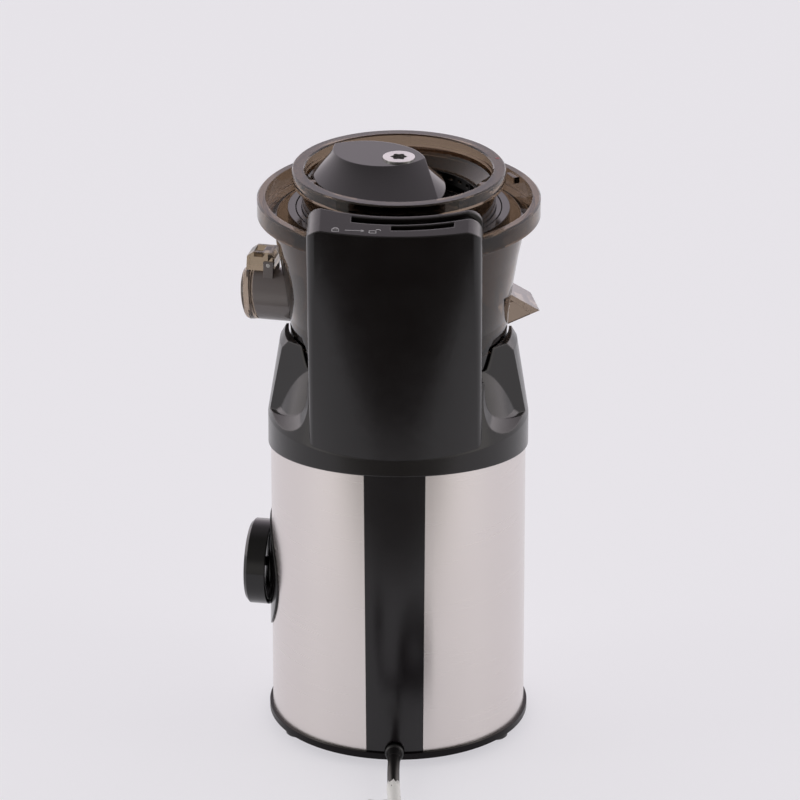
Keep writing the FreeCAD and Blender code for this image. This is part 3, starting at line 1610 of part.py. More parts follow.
# Strainer, its collar and the brush carriage
def make_strainer():
    band_inner = size.mesh_radius + 0.4
    band_outer = size.collar_funnel_radius - size.seat_gap
    plate_low = size.strainer_plate_height
    rib_outer = band_inner + size.strainer_rib_depth
    floor_low = size.strainer_floor_height
    frame = spun(
        [
            (band_inner, plate_low),
            (size.seat_ring_outer, plate_low),
            (size.seat_ring_outer, size.ring_top),
            (size.seat_ring_inner, size.ring_top),
            (size.seat_ring_inner, strainer_plate_top),
            (band_outer, strainer_plate_top),
            (band_outer, size.band_top - size.seat_gap),
            (band_inner, size.band_top - size.seat_gap),
        ]
    )
    foot = tube(rib_outer, sun_radius + 2.4, floor_low, strainer_floor_top)
    hoops = [tube(rib_outer, band_inner, z, z + 2.5) for z in (strainer_floor_top - 0.5, floor_low + 32)]
    half = float(size.strainer_rib_width) / 2
    rib = block(band_inner - 4, rib_outer + 4, -half, half, floor_low, plate_low + 1)
    cage = tube(rib_outer, band_inner, floor_low, plate_low + 1)
    ribs = [cage.common(side) for side in around(rib, count(size.strainer_rib_count))]
    slot_half = float(size.window_width) / 2
    slot_low = size.band_top - 2.2 - size.window_height
    slot = block(band_inner - 2, band_outer + 2, -slot_half, slot_half, slot_low, slot_low + size.window_height)
    slots = around(slot, count(size.window_count))
    frame = joined(frame, foot, *hoops, *ribs).cut(slots)
    piece("strainer_frame", frame, size.bowl_shift)
    mesh_outer, mesh_foot = size.mesh_radius, size.mesh_foot_radius
    low = strainer_floor_top + size.seat_gap
    turned(
        "strainer_mesh",
        [
            (mesh_foot, low),
            (mesh_foot + size.mesh_wall, low),
            (mesh_foot + size.mesh_wall, low + 1.5),
            (mesh_outer, low + 4),
            (mesh_outer, size.mesh_top),
            (mesh_outer - size.mesh_wall, size.mesh_top),
            (mesh_outer - size.mesh_wall, low + 4),
            (mesh_foot, low + 1.5),
        ],
        size.bowl_shift,
    )
    drum_inner = size.collar_drum_radius - size.collar_drum_wall
    flange_foot = size.collar_flange_top - size.collar_flange_height
    funnel_low = size.band_top + 0.2
    drum = spun(
        [
            (drum_inner, strainer_plate_top + size.seat_gap),
            (size.collar_drum_radius, strainer_plate_top + size.seat_gap),
            (size.collar_drum_radius, flange_foot),
            (size.collar_flange_radius, flange_foot),
            (size.collar_flange_radius, size.collar_flange_top - 0.8),
            (size.collar_flange_radius - 0.8, size.collar_flange_top),
            (drum_inner + 0.8, size.collar_flange_top),
            (drum_inner, size.collar_flange_top - 0.8),
            (drum_inner, funnel_low + size.collar_funnel_rise),
            (size.collar_funnel_radius, funnel_low),
            (size.collar_funnel_radius, funnel_low - 2.4),
            (drum_inner, funnel_low + size.collar_funnel_rise - 2.4),
        ]
    )
    tabs = []
    for angle in (-158, -23):
        tab = rod(2.6, flange_foot + 2, size.collar_flange_top - 1.5, drum_inner - 1, 0)
        tabs.append(turned_by(tab, angle))
    rib = block(drum_inner - 1.6, drum_inner + 0.5, -2.5, 2.5, flange_foot - 2, size.collar_flange_top - 0.8)
    piece("strainer_collar", joined(drum, turned_by(rib, 87), *tabs), size.bowl_shift)


def make_brush():
    teeth = gear_outline(size.brush_module, count(size.ring_teeth), -size.gear_backlash, 1.2, 0.9, 90)
    low = brush_gear_foot
    ring = rod(size.ring_gear_outer, low, brush_gear_top).cut(prism(teeth, low - 1, brush_gear_top + 1))
    arm = tube(size.carriage_arm_outer, size.carriage_arm_inner, low, size.carriage_plate_height + 0.5)
    wedge_angle = float(size.carriage_arm_angle)
    wedge = spun([(20, 200), (80, 200), (80, 400), (20, 400)], wedge_angle, 45 - wedge_angle / 2)
    arms = [turned_by(arm.common(wedge), 90 * k) for k in range(count(size.carriage_arm_count))]
    top = spun(
        [
            (size.carriage_arm_inner, size.carriage_plate_height),
            (size.carriage_outer, size.carriage_plate_height),
            (size.carriage_outer, size.ring_top),
            (size.carriage_inner, size.ring_top),
            (size.carriage_inner, size.carriage_plate_height + 3.2),
            (size.carriage_arm_inner, size.carriage_plate_height + 3.2),
        ]
    )
    piece("brush_carriage", joined(ring, top, *arms), size.bowl_shift)
    half = size.wiper_thickness / 2
    blade = block(size.wiper_inner, size.carriage_arm_inner - size.seat_gap, -half, half,
                  size.strainer_floor_height + 4, size.carriage_plate_height - 2)
    piece("brush_wipers", Part.makeCompound(around(blade, count(size.carriage_arm_count), 45)), size.bowl_shift)
    idler = spur_gear(size.brush_module, count(size.idler_teeth), low, brush_gear_top, 90)
    idler = idler.cut(rod(size.idler_pin_radius + size.bearing_gap, low - 1, brush_gear_top + 1))
    piece("brush_idler", idler, size.bowl_shift + idler_distance)


# Auger
def leaf_wire(left, back, right, front, height):
    def at(spot):
        return Vector(float(spot[0]), float(spot[1]), float(height))

    return Part.Wire(
        [
            Part.Arc(at(left), at(back), at(right)).toShape(),
            Part.Arc(at(right), at(front), at(left)).toShape(),
        ]
    )


def on_head_edge(angle):
    reach = float(size.auger_head_radius)
    return (reach * math.cos(math.radians(angle)), reach * math.sin(math.radians(angle)))


def skirt_wire(height):
    """The lower edge of the auger's head: round at the left, hollow at the right where food falls in."""
    return leaf_wire(on_head_edge(133), (6, 24), on_head_edge(-61), on_head_edge(206), height)


def make_auger():
    head_low = size.auger_head_foot
    disc_low = head_low - size.auger_disc_height
    crown = leaf_wire((-39.4, 23.6), (-9, 27.4), (15.8, 1.0), (-17, -13.4), size.auger_top)
    head = Part.makeLoft([crown, skirt_wire(size.auger_head_knee)], True, True)
    wall = Part.Face(skirt_wire(head_low)).extrude(point(0, 0, size.auger_head_knee - head_low))
    under = Part.Face(skirt_wire(disc_low)).extrude(point(0, 0, size.auger_disc_height + 0.3))
    disc = under.common(rod(size.mesh_radius - 2, disc_low, head_low + 0.3))
    foot, top = size.auger_foot_height, size.auger_top
    core_height = float(head_low - 1 - foot)
    core = Part.makeCone(float(size.auger_core_foot), float(size.auger_core_top), core_height, point(0, 0, foot))
    neck = rod(sun_radius + size.brush_module, strainer_floor_top + size.running_gap, foot + 1)
    stem_foot = brush_gear_top + size.running_gap
    stem = rod(size.socket_radius + 1.4, stem_foot, foot + 1)
    sun = spur_gear(size.brush_module, count(size.sun_teeth), brush_gear_foot, stem_foot + 0.3, 90)
    auger = core
    for part in [flight(0), flight(180), disc, wall, head, neck, stem, sun]:
        auger = auger.fuse(part)
    bush_low = top + size.bush_proud - size.bush_height
    bush_room = rod(size.bush_radius + size.seat_gap, bush_low, top + 5)
    socket_top = socket_foot + size.socket_height
    socket_room = rod(size.socket_radius + size.seat_gap, socket_foot - 1, socket_top + 0.2)
    piece("auger", auger.cut([bush_room, socket_room]), size.bowl_shift)
    bush = rod(size.bush_radius, bush_low + size.seat_gap, top + size.bush_proud)
    piece("auger_bush", bush.cut(star_hole()), size.bowl_shift)
    socket = rod(size.socket_radius, socket_foot, socket_top)
    hexagon_room = prism(hexagon(size.drive_hex_flats / 2 + 0.2), socket_foot - 1, shaft_top + size.running_gap)
    piece("auger_socket", socket.cut(hexagon_room), size.bowl_shift)


def flight(turn):
    """One screw blade, rooted inside the core and reaching out to the strainer."""
    low = size.auger_foot_height + 3
    high = size.auger_head_foot - 2.4
    inner = float(size.auger_core_foot) - 3
    outer = float(size.flight_radius)
    half = float(size.flight_thickness) / 2
    helix = Part.makeHelix(float(size.flight_pitch), float(high - low) - 2 * half, (inner + outer) / 2)
    section = Part.makePolygon(
        [
            Vector(inner, 0, -half),
            Vector(outer, 0, -half * 0.6),
            Vector(outer, 0, half * 0.6),
            Vector(inner, 0, half),
            Vector(inner, 0, -half),
        ]
    )
    sweep = Part.BRepOffsetAPI.MakePipeShell(Part.Wire(helix.Edges))
    sweep.setFrenetMode(True)
    sweep.add(section, False, False)
    sweep.build()
    sweep.makeSolid()
    return turned_by(moved(sweep.shape(), 0, 0, float(low) + half), turn)


def star_hole():
    """A six-lobed hole, as on the auger's steel top bush."""
    reach = float(size.bush_hole_radius)
    corners = []
    for k in range(24):
        angle = 2 * math.pi * k / 24
        swing = reach * (0.86 + 0.14 * math.cos(6 * angle))
        corners.append((swing * math.cos(angle), swing * math.sin(angle)))
    return prism(corners, size.auger_top - 10, size.auger_top + 10)


# Mains cord
def arc_between(start, corner, end):
    """The arc that leaves start towards corner and reaches end coming from corner."""
    middle = (start + end) * 0.5
    rise = (corner - middle).Length
    half_chord = (end - start).Length / 2
    if rise < 1e-4:
        return Part.LineSegment(start, end).toShape()
    turn = math.atan2(rise, half_chord)
    crown = middle + (corner - middle) * (half_chord * math.tan(turn / 2) / rise)
    return Part.Arc(start, crown, end).toShape()


def biarc(start, start_way, end, end_way):
    """Two arcs from start to end that keep both directions and meet smoothly."""
    across = end - start
    ways = start_way + end_way
    spread = 2 * (1 - start_way.dot(end_way))
    along = across.dot(ways)
    reach = (math.sqrt(along * along + spread * across.dot(across)) - along) / spread
    first = start + start_way * reach
    second = end - end_way * reach
    meet = (first + second) * 0.5
    return [arc_between(start, first, meet), arc_between(meet, second, end)]


def swept(edges, start, way, radius):
    """Sweeps a round section along joined edges."""
    section = Part.Wire(Part.makeCircle(float(radius), start, way))
    sweep = Part.BRepOffsetAPI.MakePipeShell(Part.Wire(edges))
    sweep.add(section, False, False)
    sweep.build()
    sweep.makeSolid()
    return sweep.shape()


def run_edges(route):
    """Straight runs joined by arcs as large as each pair of runs allows."""
    edges = []
    here = route[0]
    for before, corner, after in zip(route, route[1:], route[2:]):
        back, ahead = before - corner, after - corner
        turn = math.pi - back.getAngle(ahead)
        shorter = min(back.Length, ahead.Length)
        reach = 0.45 * shorter
        entry = corner + back.normalize() * reach
        leave = corner + ahead.normalize() * reach
        print("bend radius", round(reach / math.tan(turn / 2), 1))
        edges.append(Part.LineSegment(here, entry).toShape())
        edges.append(arc_between(entry, corner, leave))
        here = leave
    edges.append(Part.LineSegment(here, route[-1]).toShape())
    return edges


def make_run(label, route):
    edges = run_edges(route)
    solid = swept(edges, route[0], route[1] - route[0], size.cord_radius)
    length = sum(edge.Length for edge in edges)
    share = solid.Volume / (math.pi * float(size.cord_radius) ** 2 * length)
    print(label, "length", round(length, 1), "volume against section times length", round(share, 4))
    piece(label, solid)
    return length


COIL_TURNS_IN = 2
COIL_TURNS_OUT = 2.25
COIL_START = 180.0


def coil_state(turn):
    """Radius, height and their change per turn, after so many turns of the coil: one layer winds in on the
    floor, half a turn climbs, and a second layer winds out on top."""
    outer, pitch, rise = float(size.coil_outer_radius), float(size.coil_pitch), float(size.coil_rise)
    floor_z = float(size.cord_radius + size.cord_lift)
    inner = outer - pitch * COIL_TURNS_IN
    if turn <= COIL_TURNS_IN:
        return outer - pitch * turn, floor_z, -pitch, 0.0
    climb = turn - COIL_TURNS_IN
    if climb < 0.5:
        return inner, floor_z + 2 * rise * climb, 0.0, 2 * rise
    return inner + pitch * (climb - 0.5), floor_z + rise, pitch, 0.0


def coil_point(turn):
    radius, z, radius_rate, z_rate = coil_state(turn)
    angle = math.radians(COIL_START) + 2 * math.pi * turn
    out = Vector(math.cos(angle), math.sin(angle), 0)
    round_way = Vector(-math.sin(angle), math.cos(angle), 0)
    spot = point(size.coil_centre_x, size.coil_centre_y, z) + out * radius
    way = round_way * (2 * math.pi * radius) + out * radius_rate + Vector(0, 0, z_rate)
    return spot, way.normalize(), round_way


def make_coil():
    total = COIL_TURNS_IN + 0.5 + COIL_TURNS_OUT
    steps = count(total * 4)
    stations = []
    for step in range(0, steps + 1):
        turn = step / 4
        spot, way, round_way = coil_point(turn)
        flat = turn in (0, COIL_TURNS_IN, COIL_TURNS_IN + 0.5, total)
        stations.append((spot, round_way if flat else way))
    edges = []
    for (start, start_way), (end, end_way) in zip(stations, stations[1:]):
        edges.extend(biarc(start, start_way, end, end_way))
    solid = swept(edges, stations[0][0], stations[0][1], size.cord_radius)
    length = sum(edge.Length for edge in edges)
    share = solid.Volume / (math.pi * float(size.cord_radius) ** 2 * length)
    print("cord_coil length", round(length, 1), "volume against section times length", round(share, 4))
    spots = []
    run = 0.0
    for edge in edges:
        for part in edge.discretize(7)[:-1]:
            spots.append((run + (part - edge.firstVertex(True).Point).Length, part))
        run += edge.Length
    least = min(
        (there - here).Length
        for index, (at, here) in enumerate(spots)
        for reached, there in spots[index + 1:]
        if reached - at > 60
    )
    print("cord_coil least gap to itself", round(least - 2 * float(size.cord_radius), 2))
    piece("cord_coil", solid)
    return stations[-1][0], length


def make_cord():
    floor_z = size.cord_radius + size.cord_lift
    exit_z = size.cord_height
    coil_x = size.coil_centre_x - size.coil_outer_radius
    lead = [
        point(0, -size.relief_reach, exit_z),
        point(0, -113, exit_z),
        point(2, -140, floor_z + 1.4),
        point(coil_x, -178, floor_z),
        point(coil_x, size.coil_centre_y, floor_z),
    ]
    total = make_run("mains_cord", lead)
    spot, coil_length = make_coil()
    plug_z = size.plug_height / 2 + size.cord_lift
    lift = float(plug_z - spot.z)
    drop = -float(size.coil_rise)
    tail = [
        spot,
        spot + Vector(-32, 0, 0),
        spot + Vector(-62, -7, 0),
        spot + Vector(-87, -22, drop),
        spot + Vector(-101, -44, lift),
        spot + Vector(-108, -66, lift),
    ]
    total += coil_length + make_run("cord_tail", tail)
    print("cord length", round(total, 1))
    make_plug(tail[-1], tail[-1] - tail[-2])
    make_tag(lead)


def along_way(shape, start, way):
    """Places a shape built along +Z so that it runs from start along way, its +X side down."""
    yaw = math.degrees(math.atan2(way.y, way.x))
    pitch = math.degrees(math.atan2(-way.z, math.hypot(way.x, way.y)))
    lie = Placement(start, Rotation(yaw, pitch, 0)).multiply(Placement(Vector(), Rotation(Vector(0, 1, 0), 90)))
    copy = shape.copy()
    copy.Placement = lie.multiply(shape.Placement)
    return copy


def eight_corners(high, wide, cut, z):
    """A rectangle with cut corners, high along X and wide along Y."""
    h, w, c = float(high) / 2, float(wide) / 2, float(cut)
    spots = [(h, w - c), (h - c, w), (c - h, w), (-h, w - c), (-h, c - w), (c - h, -w), (h - c, -w), (h, c - w)]
    spots = [Vector(x, y, float(z)) for x, y in spots]
    return Part.makePolygon(spots + [spots[0]])


def make_plug(start, way):
    """A moulded two-pin plug lying flat, with a tapered relief on the cord."""
    relief, length = size.plug_relief, size.plug_length
    grip = Part.makeCone(float(size.cord_radius) + 1, 6.0, float(relief) + 1)
    waist = eight_corners(11, 14, 3, relief)
    shoulder = eight_corners(size.plug_height, size.plug_width, 4, relief + length / 3)
    face = eight_corners(size.plug_height, size.plug_width, 4, relief + length)
    taper = Part.makeLoft([waist, shoulder], True, True)
    solid = grip.fuse([taper, Part.makeLoft([shoulder, face], True, True)])
    pin_low = relief + length - 1
    for side in (-0.5, 0.5):
        across = side * size.plug_pin_spacing
        pin = rod(size.plug_pin_radius, pin_low, pin_low + size.plug_pin_length, 0, across)
        solid = solid.fuse(pin)
    piece("mains_plug", along_way(solid, start, way))


def make_tag(lead):
    """A paper label wrapped round the cord, its loose end a flag beside it."""
    edges = run_edges(lead)[2:4]
    start = edges[0].firstVertex(True).Point
    way = lead[2] - lead[1]
    inner = float(size.cord_radius + size.seat_gap)
    outer = inner + float(size.tag_thickness)
    wrap = swept(edges, start, way, outer).cut(swept(edges, start, way, inner))
    half = float(size.tag_thickness) / 2
    flag = Part.makeBox(2 * half, float(size.tag_width), float(size.tag_length), Vector(-half, inner + half, 0))
    flag = flag.mirror(Vector(0, 0, 0), Vector(0, 1, 0))
    piece("cord_tag", wrap.fuse(along_way(flag, start, way)))


make_base_plate()
make_feet()
make_sleeve()
make_back_strip()
make_grommet()
make_knob()
make_bezel()
make_rotary_switch()
make_posts_and_plate()
make_motor()
make_gearbox()
make_gears()
make_control_parts()
make_upper_housing()
make_column_cover()
make_interlock()
make_bowl()
make_spout()
make_chute()
make_strainer()
make_brush()
make_auger()
make_cord()

doc.recompute()
for item in doc.Objects:
    if "Invalid" in item.State or "Error" in item.State:
        raise RuntimeError(f"{item.Label} did not rebuild: {item.State}")
for item in PIECES:
    if item.Shape.isNull() or not item.Shape.isValid() or not item.Shape.Solids:
        raise RuntimeError(f"{item.Label} is not a valid solid")
os.makedirs("parts", exist_ok=True)
for item in PIECES:
    item.Shape.exportStep(f"parts/{item.Label}.step")
print(len(PIECES), "sub-parts written")
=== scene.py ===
# %% [markdown]
# # Cold press juicer, dressed for the photograph
#
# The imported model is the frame: every piece below is in metres, in the model's own axes. +Z is up, the column is at
# the back, towards -Y, and the juice spout points to the left, towards -X. The photograph looks at the back.

# %% Load the frame
import json
import math

import bmesh
import bpy
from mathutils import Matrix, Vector


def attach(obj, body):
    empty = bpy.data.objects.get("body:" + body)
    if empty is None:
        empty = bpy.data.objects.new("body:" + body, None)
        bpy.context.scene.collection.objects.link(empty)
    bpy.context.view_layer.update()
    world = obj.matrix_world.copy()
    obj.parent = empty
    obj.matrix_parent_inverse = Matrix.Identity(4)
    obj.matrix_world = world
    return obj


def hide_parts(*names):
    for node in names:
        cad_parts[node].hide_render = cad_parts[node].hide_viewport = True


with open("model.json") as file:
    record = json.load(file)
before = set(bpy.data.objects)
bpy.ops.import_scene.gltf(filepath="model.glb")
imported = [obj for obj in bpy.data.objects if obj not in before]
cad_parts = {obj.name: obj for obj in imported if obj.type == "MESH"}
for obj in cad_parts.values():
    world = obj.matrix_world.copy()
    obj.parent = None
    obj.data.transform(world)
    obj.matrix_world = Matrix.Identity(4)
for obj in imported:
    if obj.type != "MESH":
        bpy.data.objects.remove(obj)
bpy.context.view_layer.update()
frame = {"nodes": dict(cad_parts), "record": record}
nodes = frame["nodes"]
MM = 0.001
BOWL_AXIS = Vector((0, 12, 0)) * MM

# %% [markdown]
# ## Helpers for shapes
#
# The imported solids give almost every shape, so only thin marks, the label and the cord are made here. A new mesh
# stays at the origin with its place in its vertices, rides on a body and gets the one material it is given.


# %% Mesh helpers
def add_piece(name, bm, body, material, smooth=True):
    mesh = bpy.data.meshes.new(name)
    bm.to_mesh(mesh)
    bm.free()
    piece = bpy.data.objects.new(name, mesh)
    bpy.context.scene.collection.objects.link(piece)
    for face in mesh.polygons:
        face.use_smooth = smooth
    mesh.materials.append(material)
    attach(piece, body)
    return piece


def strip_along(bm, path, width, height, up):
    """A flat ribbon of rectangular section along a list of points, in millimetres."""
    rows = []
    for index, spot in enumerate(path):
        before = path[max(index - 1, 0)]
        after = path[min(index + 1, len(path) - 1)]
        way = (after - before).normalized()
        side = way.cross(up).normalized() * width / 2
        lift = up * height
        corners = (spot - side, spot + side, spot + side + lift, spot - side + lift)
        rows.append([bm.verts.new(corner * MM) for corner in corners])
    for low, high in zip(rows, rows[1:]):
        for k in range(4):
            bm.faces.new((low[k], low[(k + 1) % 4], high[(k + 1) % 4], high[k]))
    bm.faces.new(rows[0])
    bm.faces.new(rows[-1])
    bmesh.ops.recalc_face_normals(bm, faces=bm.faces)


# %% [markdown]
# ## Helpers for materials
#
# Real plastic is never quite flat, sharp or even, and light shows it. Each material starts from one shader. Nodes that
# read the object's own coordinates then give it grain, a little colour variation and rounded edges. That is cheaper
# than bevelling dense meshes, and no pattern has to be drawn.


# %% Material helpers
class Finish:
    """One material, with steps that each add a single kind of unevenness."""

    def __init__(self, name, colour, roughness, **sockets):
        self.material = bpy.data.materials.new(name)
        self.material.use_nodes = True
        self.tree = self.material.node_tree
        self.shader = self.tree.nodes["Principled BSDF"]
        self.colour = colour
        self.roughness = roughness
        self.shader.inputs["Base Color"].default_value = (*colour, 1)
        self.shader.inputs["Roughness"].default_value = roughness
        for key, value in sockets.items():
            self.shader.inputs[key.replace("_", " ").title().replace("Ior", "IOR")].default_value = value
        self.normal = None

    def node(self, kind, **values):
        made = self.tree.nodes.new(kind)
        for key, value in values.items():
            if key in made.inputs:
                made.inputs[key].default_value = value
            else:
                setattr(made, key, value)
        return made

    def link(self, source, target):
        self.tree.links.new(source, target)

    def coordinates(self, stretch=(1, 1, 1)):
        spot = self.node("ShaderNodeTexCoord")
        mapping = self.node("ShaderNodeMapping")
        mapping.inputs["Scale"].default_value = stretch
        self.link(spot.outputs["Object"], mapping.inputs["Vector"])
        return mapping.outputs["Vector"]

    def noise(self, scale, detail=3.0, stretch=(1, 1, 1)):
        made = self.node("ShaderNodeTexNoise", Scale=scale, Detail=detail)
        self.link(self.coordinates(stretch), made.inputs["Vector"])
        return made.outputs["Fac"]

    def round_edges(self, radius):
        made = self.node("ShaderNodeBevel", samples=6)
        made.inputs["Radius"].default_value = radius * MM
        self.normal = made.outputs["Normal"]
        self.link(self.normal, self.shader.inputs["Normal"])
        return self

    def bump(self, height, strength, depth):
        made = self.node("ShaderNodeBump", Strength=strength)
        made.inputs["Distance"].default_value = depth * MM
        self.link(height, made.inputs["Height"])
        if self.normal is not None:
            self.link(self.normal, made.inputs["Normal"])
        self.normal = made.outputs["Normal"]
        self.link(self.normal, self.shader.inputs["Normal"])
        return self

    def vary_roughness(self, field, spread):
        made = self.node("ShaderNodeMapRange")
        made.inputs["To Min"].default_value = max(self.roughness - spread, 0)
        made.inputs["To Max"].default_value = self.roughness + spread
        self.link(field, made.inputs["Value"])
        self.link(made.outputs["Result"], self.shader.inputs["Roughness"])
        return self

    def vary_colour(self, field, other):
        made = self.node("ShaderNodeMix", data_type="RGBA")
        self.link(field, made.inputs["Factor"])
        for socket in made.inputs:
            if socket.type == "RGBA" and socket.name in ("A", "B"):
                socket.default_value = (*(self.colour if socket.name == "A" else other), 1)
        result = [socket for socket in made.outputs if socket.type == "RGBA"][0]
        self.link(result, self.shader.inputs["Base Color"])
        return self


def moulded(name, colour, roughness, grain=0.05, edge=0.5, **sockets):
    """Moulded plastic: fine unevenness, faint colour variation and rounded edges."""
    made = Finish(name, colour, roughness, **sockets)
    made.round_edges(edge)
    made.bump(made.noise(900, 2), 0.12, grain)
    made.vary_roughness(made.noise(60, 4), roughness * 0.25)
    made.vary_colour(made.noise(25, 3), tuple(c * 1.2 + 0.002 for c in colour))
    return made.material


# %% [markdown]
# ## Materials
#
# The juicer is mostly black: a glossy housing and knob, a satin cover, a smooth strip down the steel. They differ in
# gloss more than in colour, so roughness is set apart for each one and the colours stay nearly the same.

# %% Black plastics and rubber
housing_black = moulded("housing_black", (0.0045, 0.003, 0.003), 0.22, 0.02, 1.2)
gloss_black = moulded("gloss_black", (0.003, 0.0027, 0.003), 0.12, 0.01, 0.6)
satin_black = moulded("satin_black", (0.006, 0.0055, 0.006), 0.36, 0.05, 0.5)
strip_black = moulded("strip_black", (0.0045, 0.003, 0.004), 0.2, 0.01, 0.3)
sleeve_grey = moulded("sleeve_grey", (0.17, 0.152, 0.152), 0.16, 0.01, 0.5)
base_black = moulded("base_black", (0.0045, 0.003, 0.004), 0.3, 0.03, 0.5, specular_ior_level=0.15)
auger_black = moulded("auger_black", (0.004, 0.0032, 0.0035), 0.1, 0.01, 0.8)
rubber = moulded("rubber_black", (0.006, 0.0055, 0.006), 0.35, 0.06, 0.3)
silicone = moulded("silicone_grey", (0.32, 0.32, 0.33), 0.5, 0.05, 0.3)
nylon = moulded("nylon_white", (0.75, 0.73, 0.69), 0.42, 0.05, 0.3)
board_green = moulded("board_green", (0.03, 0.2, 0.09), 0.3, 0.03, 0.2)
zinc = moulded("zinc_grey", (0.4, 0.41, 0.43), 0.38, 0.04, 0.4, metallic=0.9)
copper = moulded("copper_wire", (0.6, 0.28, 0.13), 0.3, 0.2, 0.3, metallic=0.9)


# %% [markdown]
# The sleeve is steel brushed round and round. Noise that changes quickly with height and slowly round the axis gives
# the fine rings, and an anisotropic highlight along them makes the bright upright bands.


# %% Steel
def brushed(name, colour, roughness, around, along, depth):
    made = Finish(name, colour, roughness, metallic=1.0, anisotropic=0.75, anisotropic_rotation=0.25)
    made.round_edges(0.25)
    lines = made.noise(1, 3, (around, around, along))
    made.bump(lines, 0.14, depth)
    made.vary_roughness(lines, roughness * 0.15)
    made.vary_colour(made.noise(9, 3), tuple(c * 0.94 for c in colour))
    tangent = made.node("ShaderNodeTangent", direction_type="RADIAL", axis="Z")
    made.link(tangent.outputs["Tangent"], made.shader.inputs["Tangent"])
    return made.material


sleeve_steel = brushed("sleeve_steel", (0.745, 0.695, 0.675), 0.26, 14, 1700, 0.006)
turned_steel = brushed("turned_steel", (0.62, 0.61, 0.6), 0.22, 40, 3000, 0.01)


# %% [markdown]
# The strainer's wall is pierced sheet with thousands of fine holes. Cutting them would give a heavy mesh, so the dots
# are worked out from the angle round the bowl's axis and the height, with every other row moved by half a step.
# The dots are painted light brown on the dark sheet: painted light that stands in for what shines through the holes.


# %% Pierced sheet
HOLES_ROUND = 156
HOLE_ROW = 1.6
HOLE_REACH = 0.27


def pierced(name, colour, roughness, through_light_colour):
    made = Finish(name, colour, roughness)
    spot = made.node("ShaderNodeTexCoord")
    parts = made.node("ShaderNodeSeparateXYZ")
    made.link(spot.outputs["Object"], parts.inputs["Vector"])

    def math_node(operation, first, second=None):
        step = made.node("ShaderNodeMath", operation=operation)
        for socket, value in zip(step.inputs, (first, second)):
            if isinstance(value, (int, float)):
                socket.default_value = value
            elif value is not None:
                made.link(value, socket)
        return step.outputs["Value"]

    forward = math_node("SUBTRACT", parts.outputs["Y"], BOWL_AXIS.y)
    angle = math_node("ARCTAN2", forward, parts.outputs["X"])
    column = math_node("MULTIPLY", angle, HOLES_ROUND / (2 * math.pi))
    row = math_node("MULTIPLY", parts.outputs["Z"], 1 / (HOLE_ROW * MM))
    shift = math_node("MULTIPLY", math_node("MODULO", math_node("FLOOR", row), 2), 0.5)
    u = math_node("SUBTRACT", math_node("FRACT", math_node("ADD", column, shift)), 0.5)
    v = math_node("SUBTRACT", math_node("FRACT", row), 0.5)
    reach = math_node("SQRT", math_node("ADD", math_node("MULTIPLY", u, u), math_node("MULTIPLY", v, v)))
    # Painted light: each hole gets a light brown, standing in for the light seen through it.
    lit_hole = math_node("LESS_THAN", reach, HOLE_REACH)
    made.vary_colour(lit_hole, through_light_colour)
    return made.material


# The light brown hole colour is painted light seen through the holes, not the sheet's own colour.
mesh_steel = pierced("mesh_steel", (0.016, 0.014, 0.014), 0.3, (0.5, 0.4, 0.36))


# %% [markdown]
# The bowl, collar, chute, cap and lever are clear plastic with a brown tint. Full transmission with a dark base
# colour does it: each wall that light crosses takes its share, so a deep bowl looks darker than a thin chute.


# %% Smoky clear plastic
def smoky(name, tint, roughness, edge=0.4):
    made = Finish(name, tint, roughness, transmission_weight=1.0, ior=1.45, specular_ior_level=0.3)
    made.round_edges(edge)
    made.bump(made.noise(20, 1), 0.03, 0.1)
    made.vary_roughness(made.noise(80, 3), roughness * 0.5)
    made.vary_colour(made.noise(14, 2), tuple(c * 0.93 for c in tint))
    return made.material


bowl_smoke = smoky("bowl_smoke", (0.15, 0.1, 0.065), 0.02)
chute_smoke = smoky("chute_smoke", (0.28, 0.22, 0.17), 0.02)
collar_smoke = smoky("collar_smoke", (0.24, 0.175, 0.125), 0.02)
cap_smoke = smoky("cap_smoke", (0.4, 0.32, 0.25), 0.03)
lever_clear = smoky("lever_clear", (0.33, 0.26, 0.18), 0.03)

# %% [markdown]
# The slip on the cord is soft white paper with small creases, so it gets a stronger bump than any plastic. Print and
# the small red mark are thin moulded layers.

# %% Paper and print
paper_finish = Finish("paper_white", (0.86, 0.87, 0.85), 0.6)
paper_finish.bump(paper_finish.noise(220, 4), 0.5, 0.3)
paper_finish.vary_colour(paper_finish.noise(120, 3), (0.78, 0.79, 0.78))
paper = paper_finish.material
print_grey = moulded("print_grey", (0.5, 0.5, 0.52), 0.4, 0.01, 0.05)
mark_red = moulded("mark_red", (0.2, 0.012, 0.012), 0.35, 0.01, 0.1)

# %% [markdown]
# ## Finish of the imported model's own pieces
#
# The record gives each piece a slot, and each slot has one finish. A few pieces of the same plastic look different in
# the photograph, so they are named one by one.

# %% Assign the materials
BY_SLOT = {
    "black_gloss": gloss_black,
    "black_satin": satin_black,
    "grey_trim": sleeve_grey,
    "brushed_steel": sleeve_steel,
    "plain_steel": turned_steel,
    "smoky_clear": bowl_smoke,
    "black_rubber": rubber,
    "grey_silicone": silicone,
    "copper_wire": copper,
    "white_nylon": nylon,
    "green_board": board_green,
    "grey_zinc": zinc,
    "white_paper": paper,
    "auger_grey": auger_black,
}
BY_NODE = {
    "upper_housing": housing_black,
    "back_strip": strip_black,
    "base_plate": base_black,
    "strainer_frame": gloss_black,
    "brush_carriage": gloss_black,
    "pulp_chute": chute_smoke,
    "strainer_collar": collar_smoke,
    "spout_cap": cap_smoke,
    "spout_lever": lever_clear,
    "strainer_mesh": mesh_steel,
}
for part in frame["record"]["subparts"]:
    finish = BY_NODE.get(part["node"], BY_SLOT[part["material_slot"]])
    for slot in nodes[part["node"]].material_slots:
        slot.material = finish
print("pieces with a finish:", len(nodes))

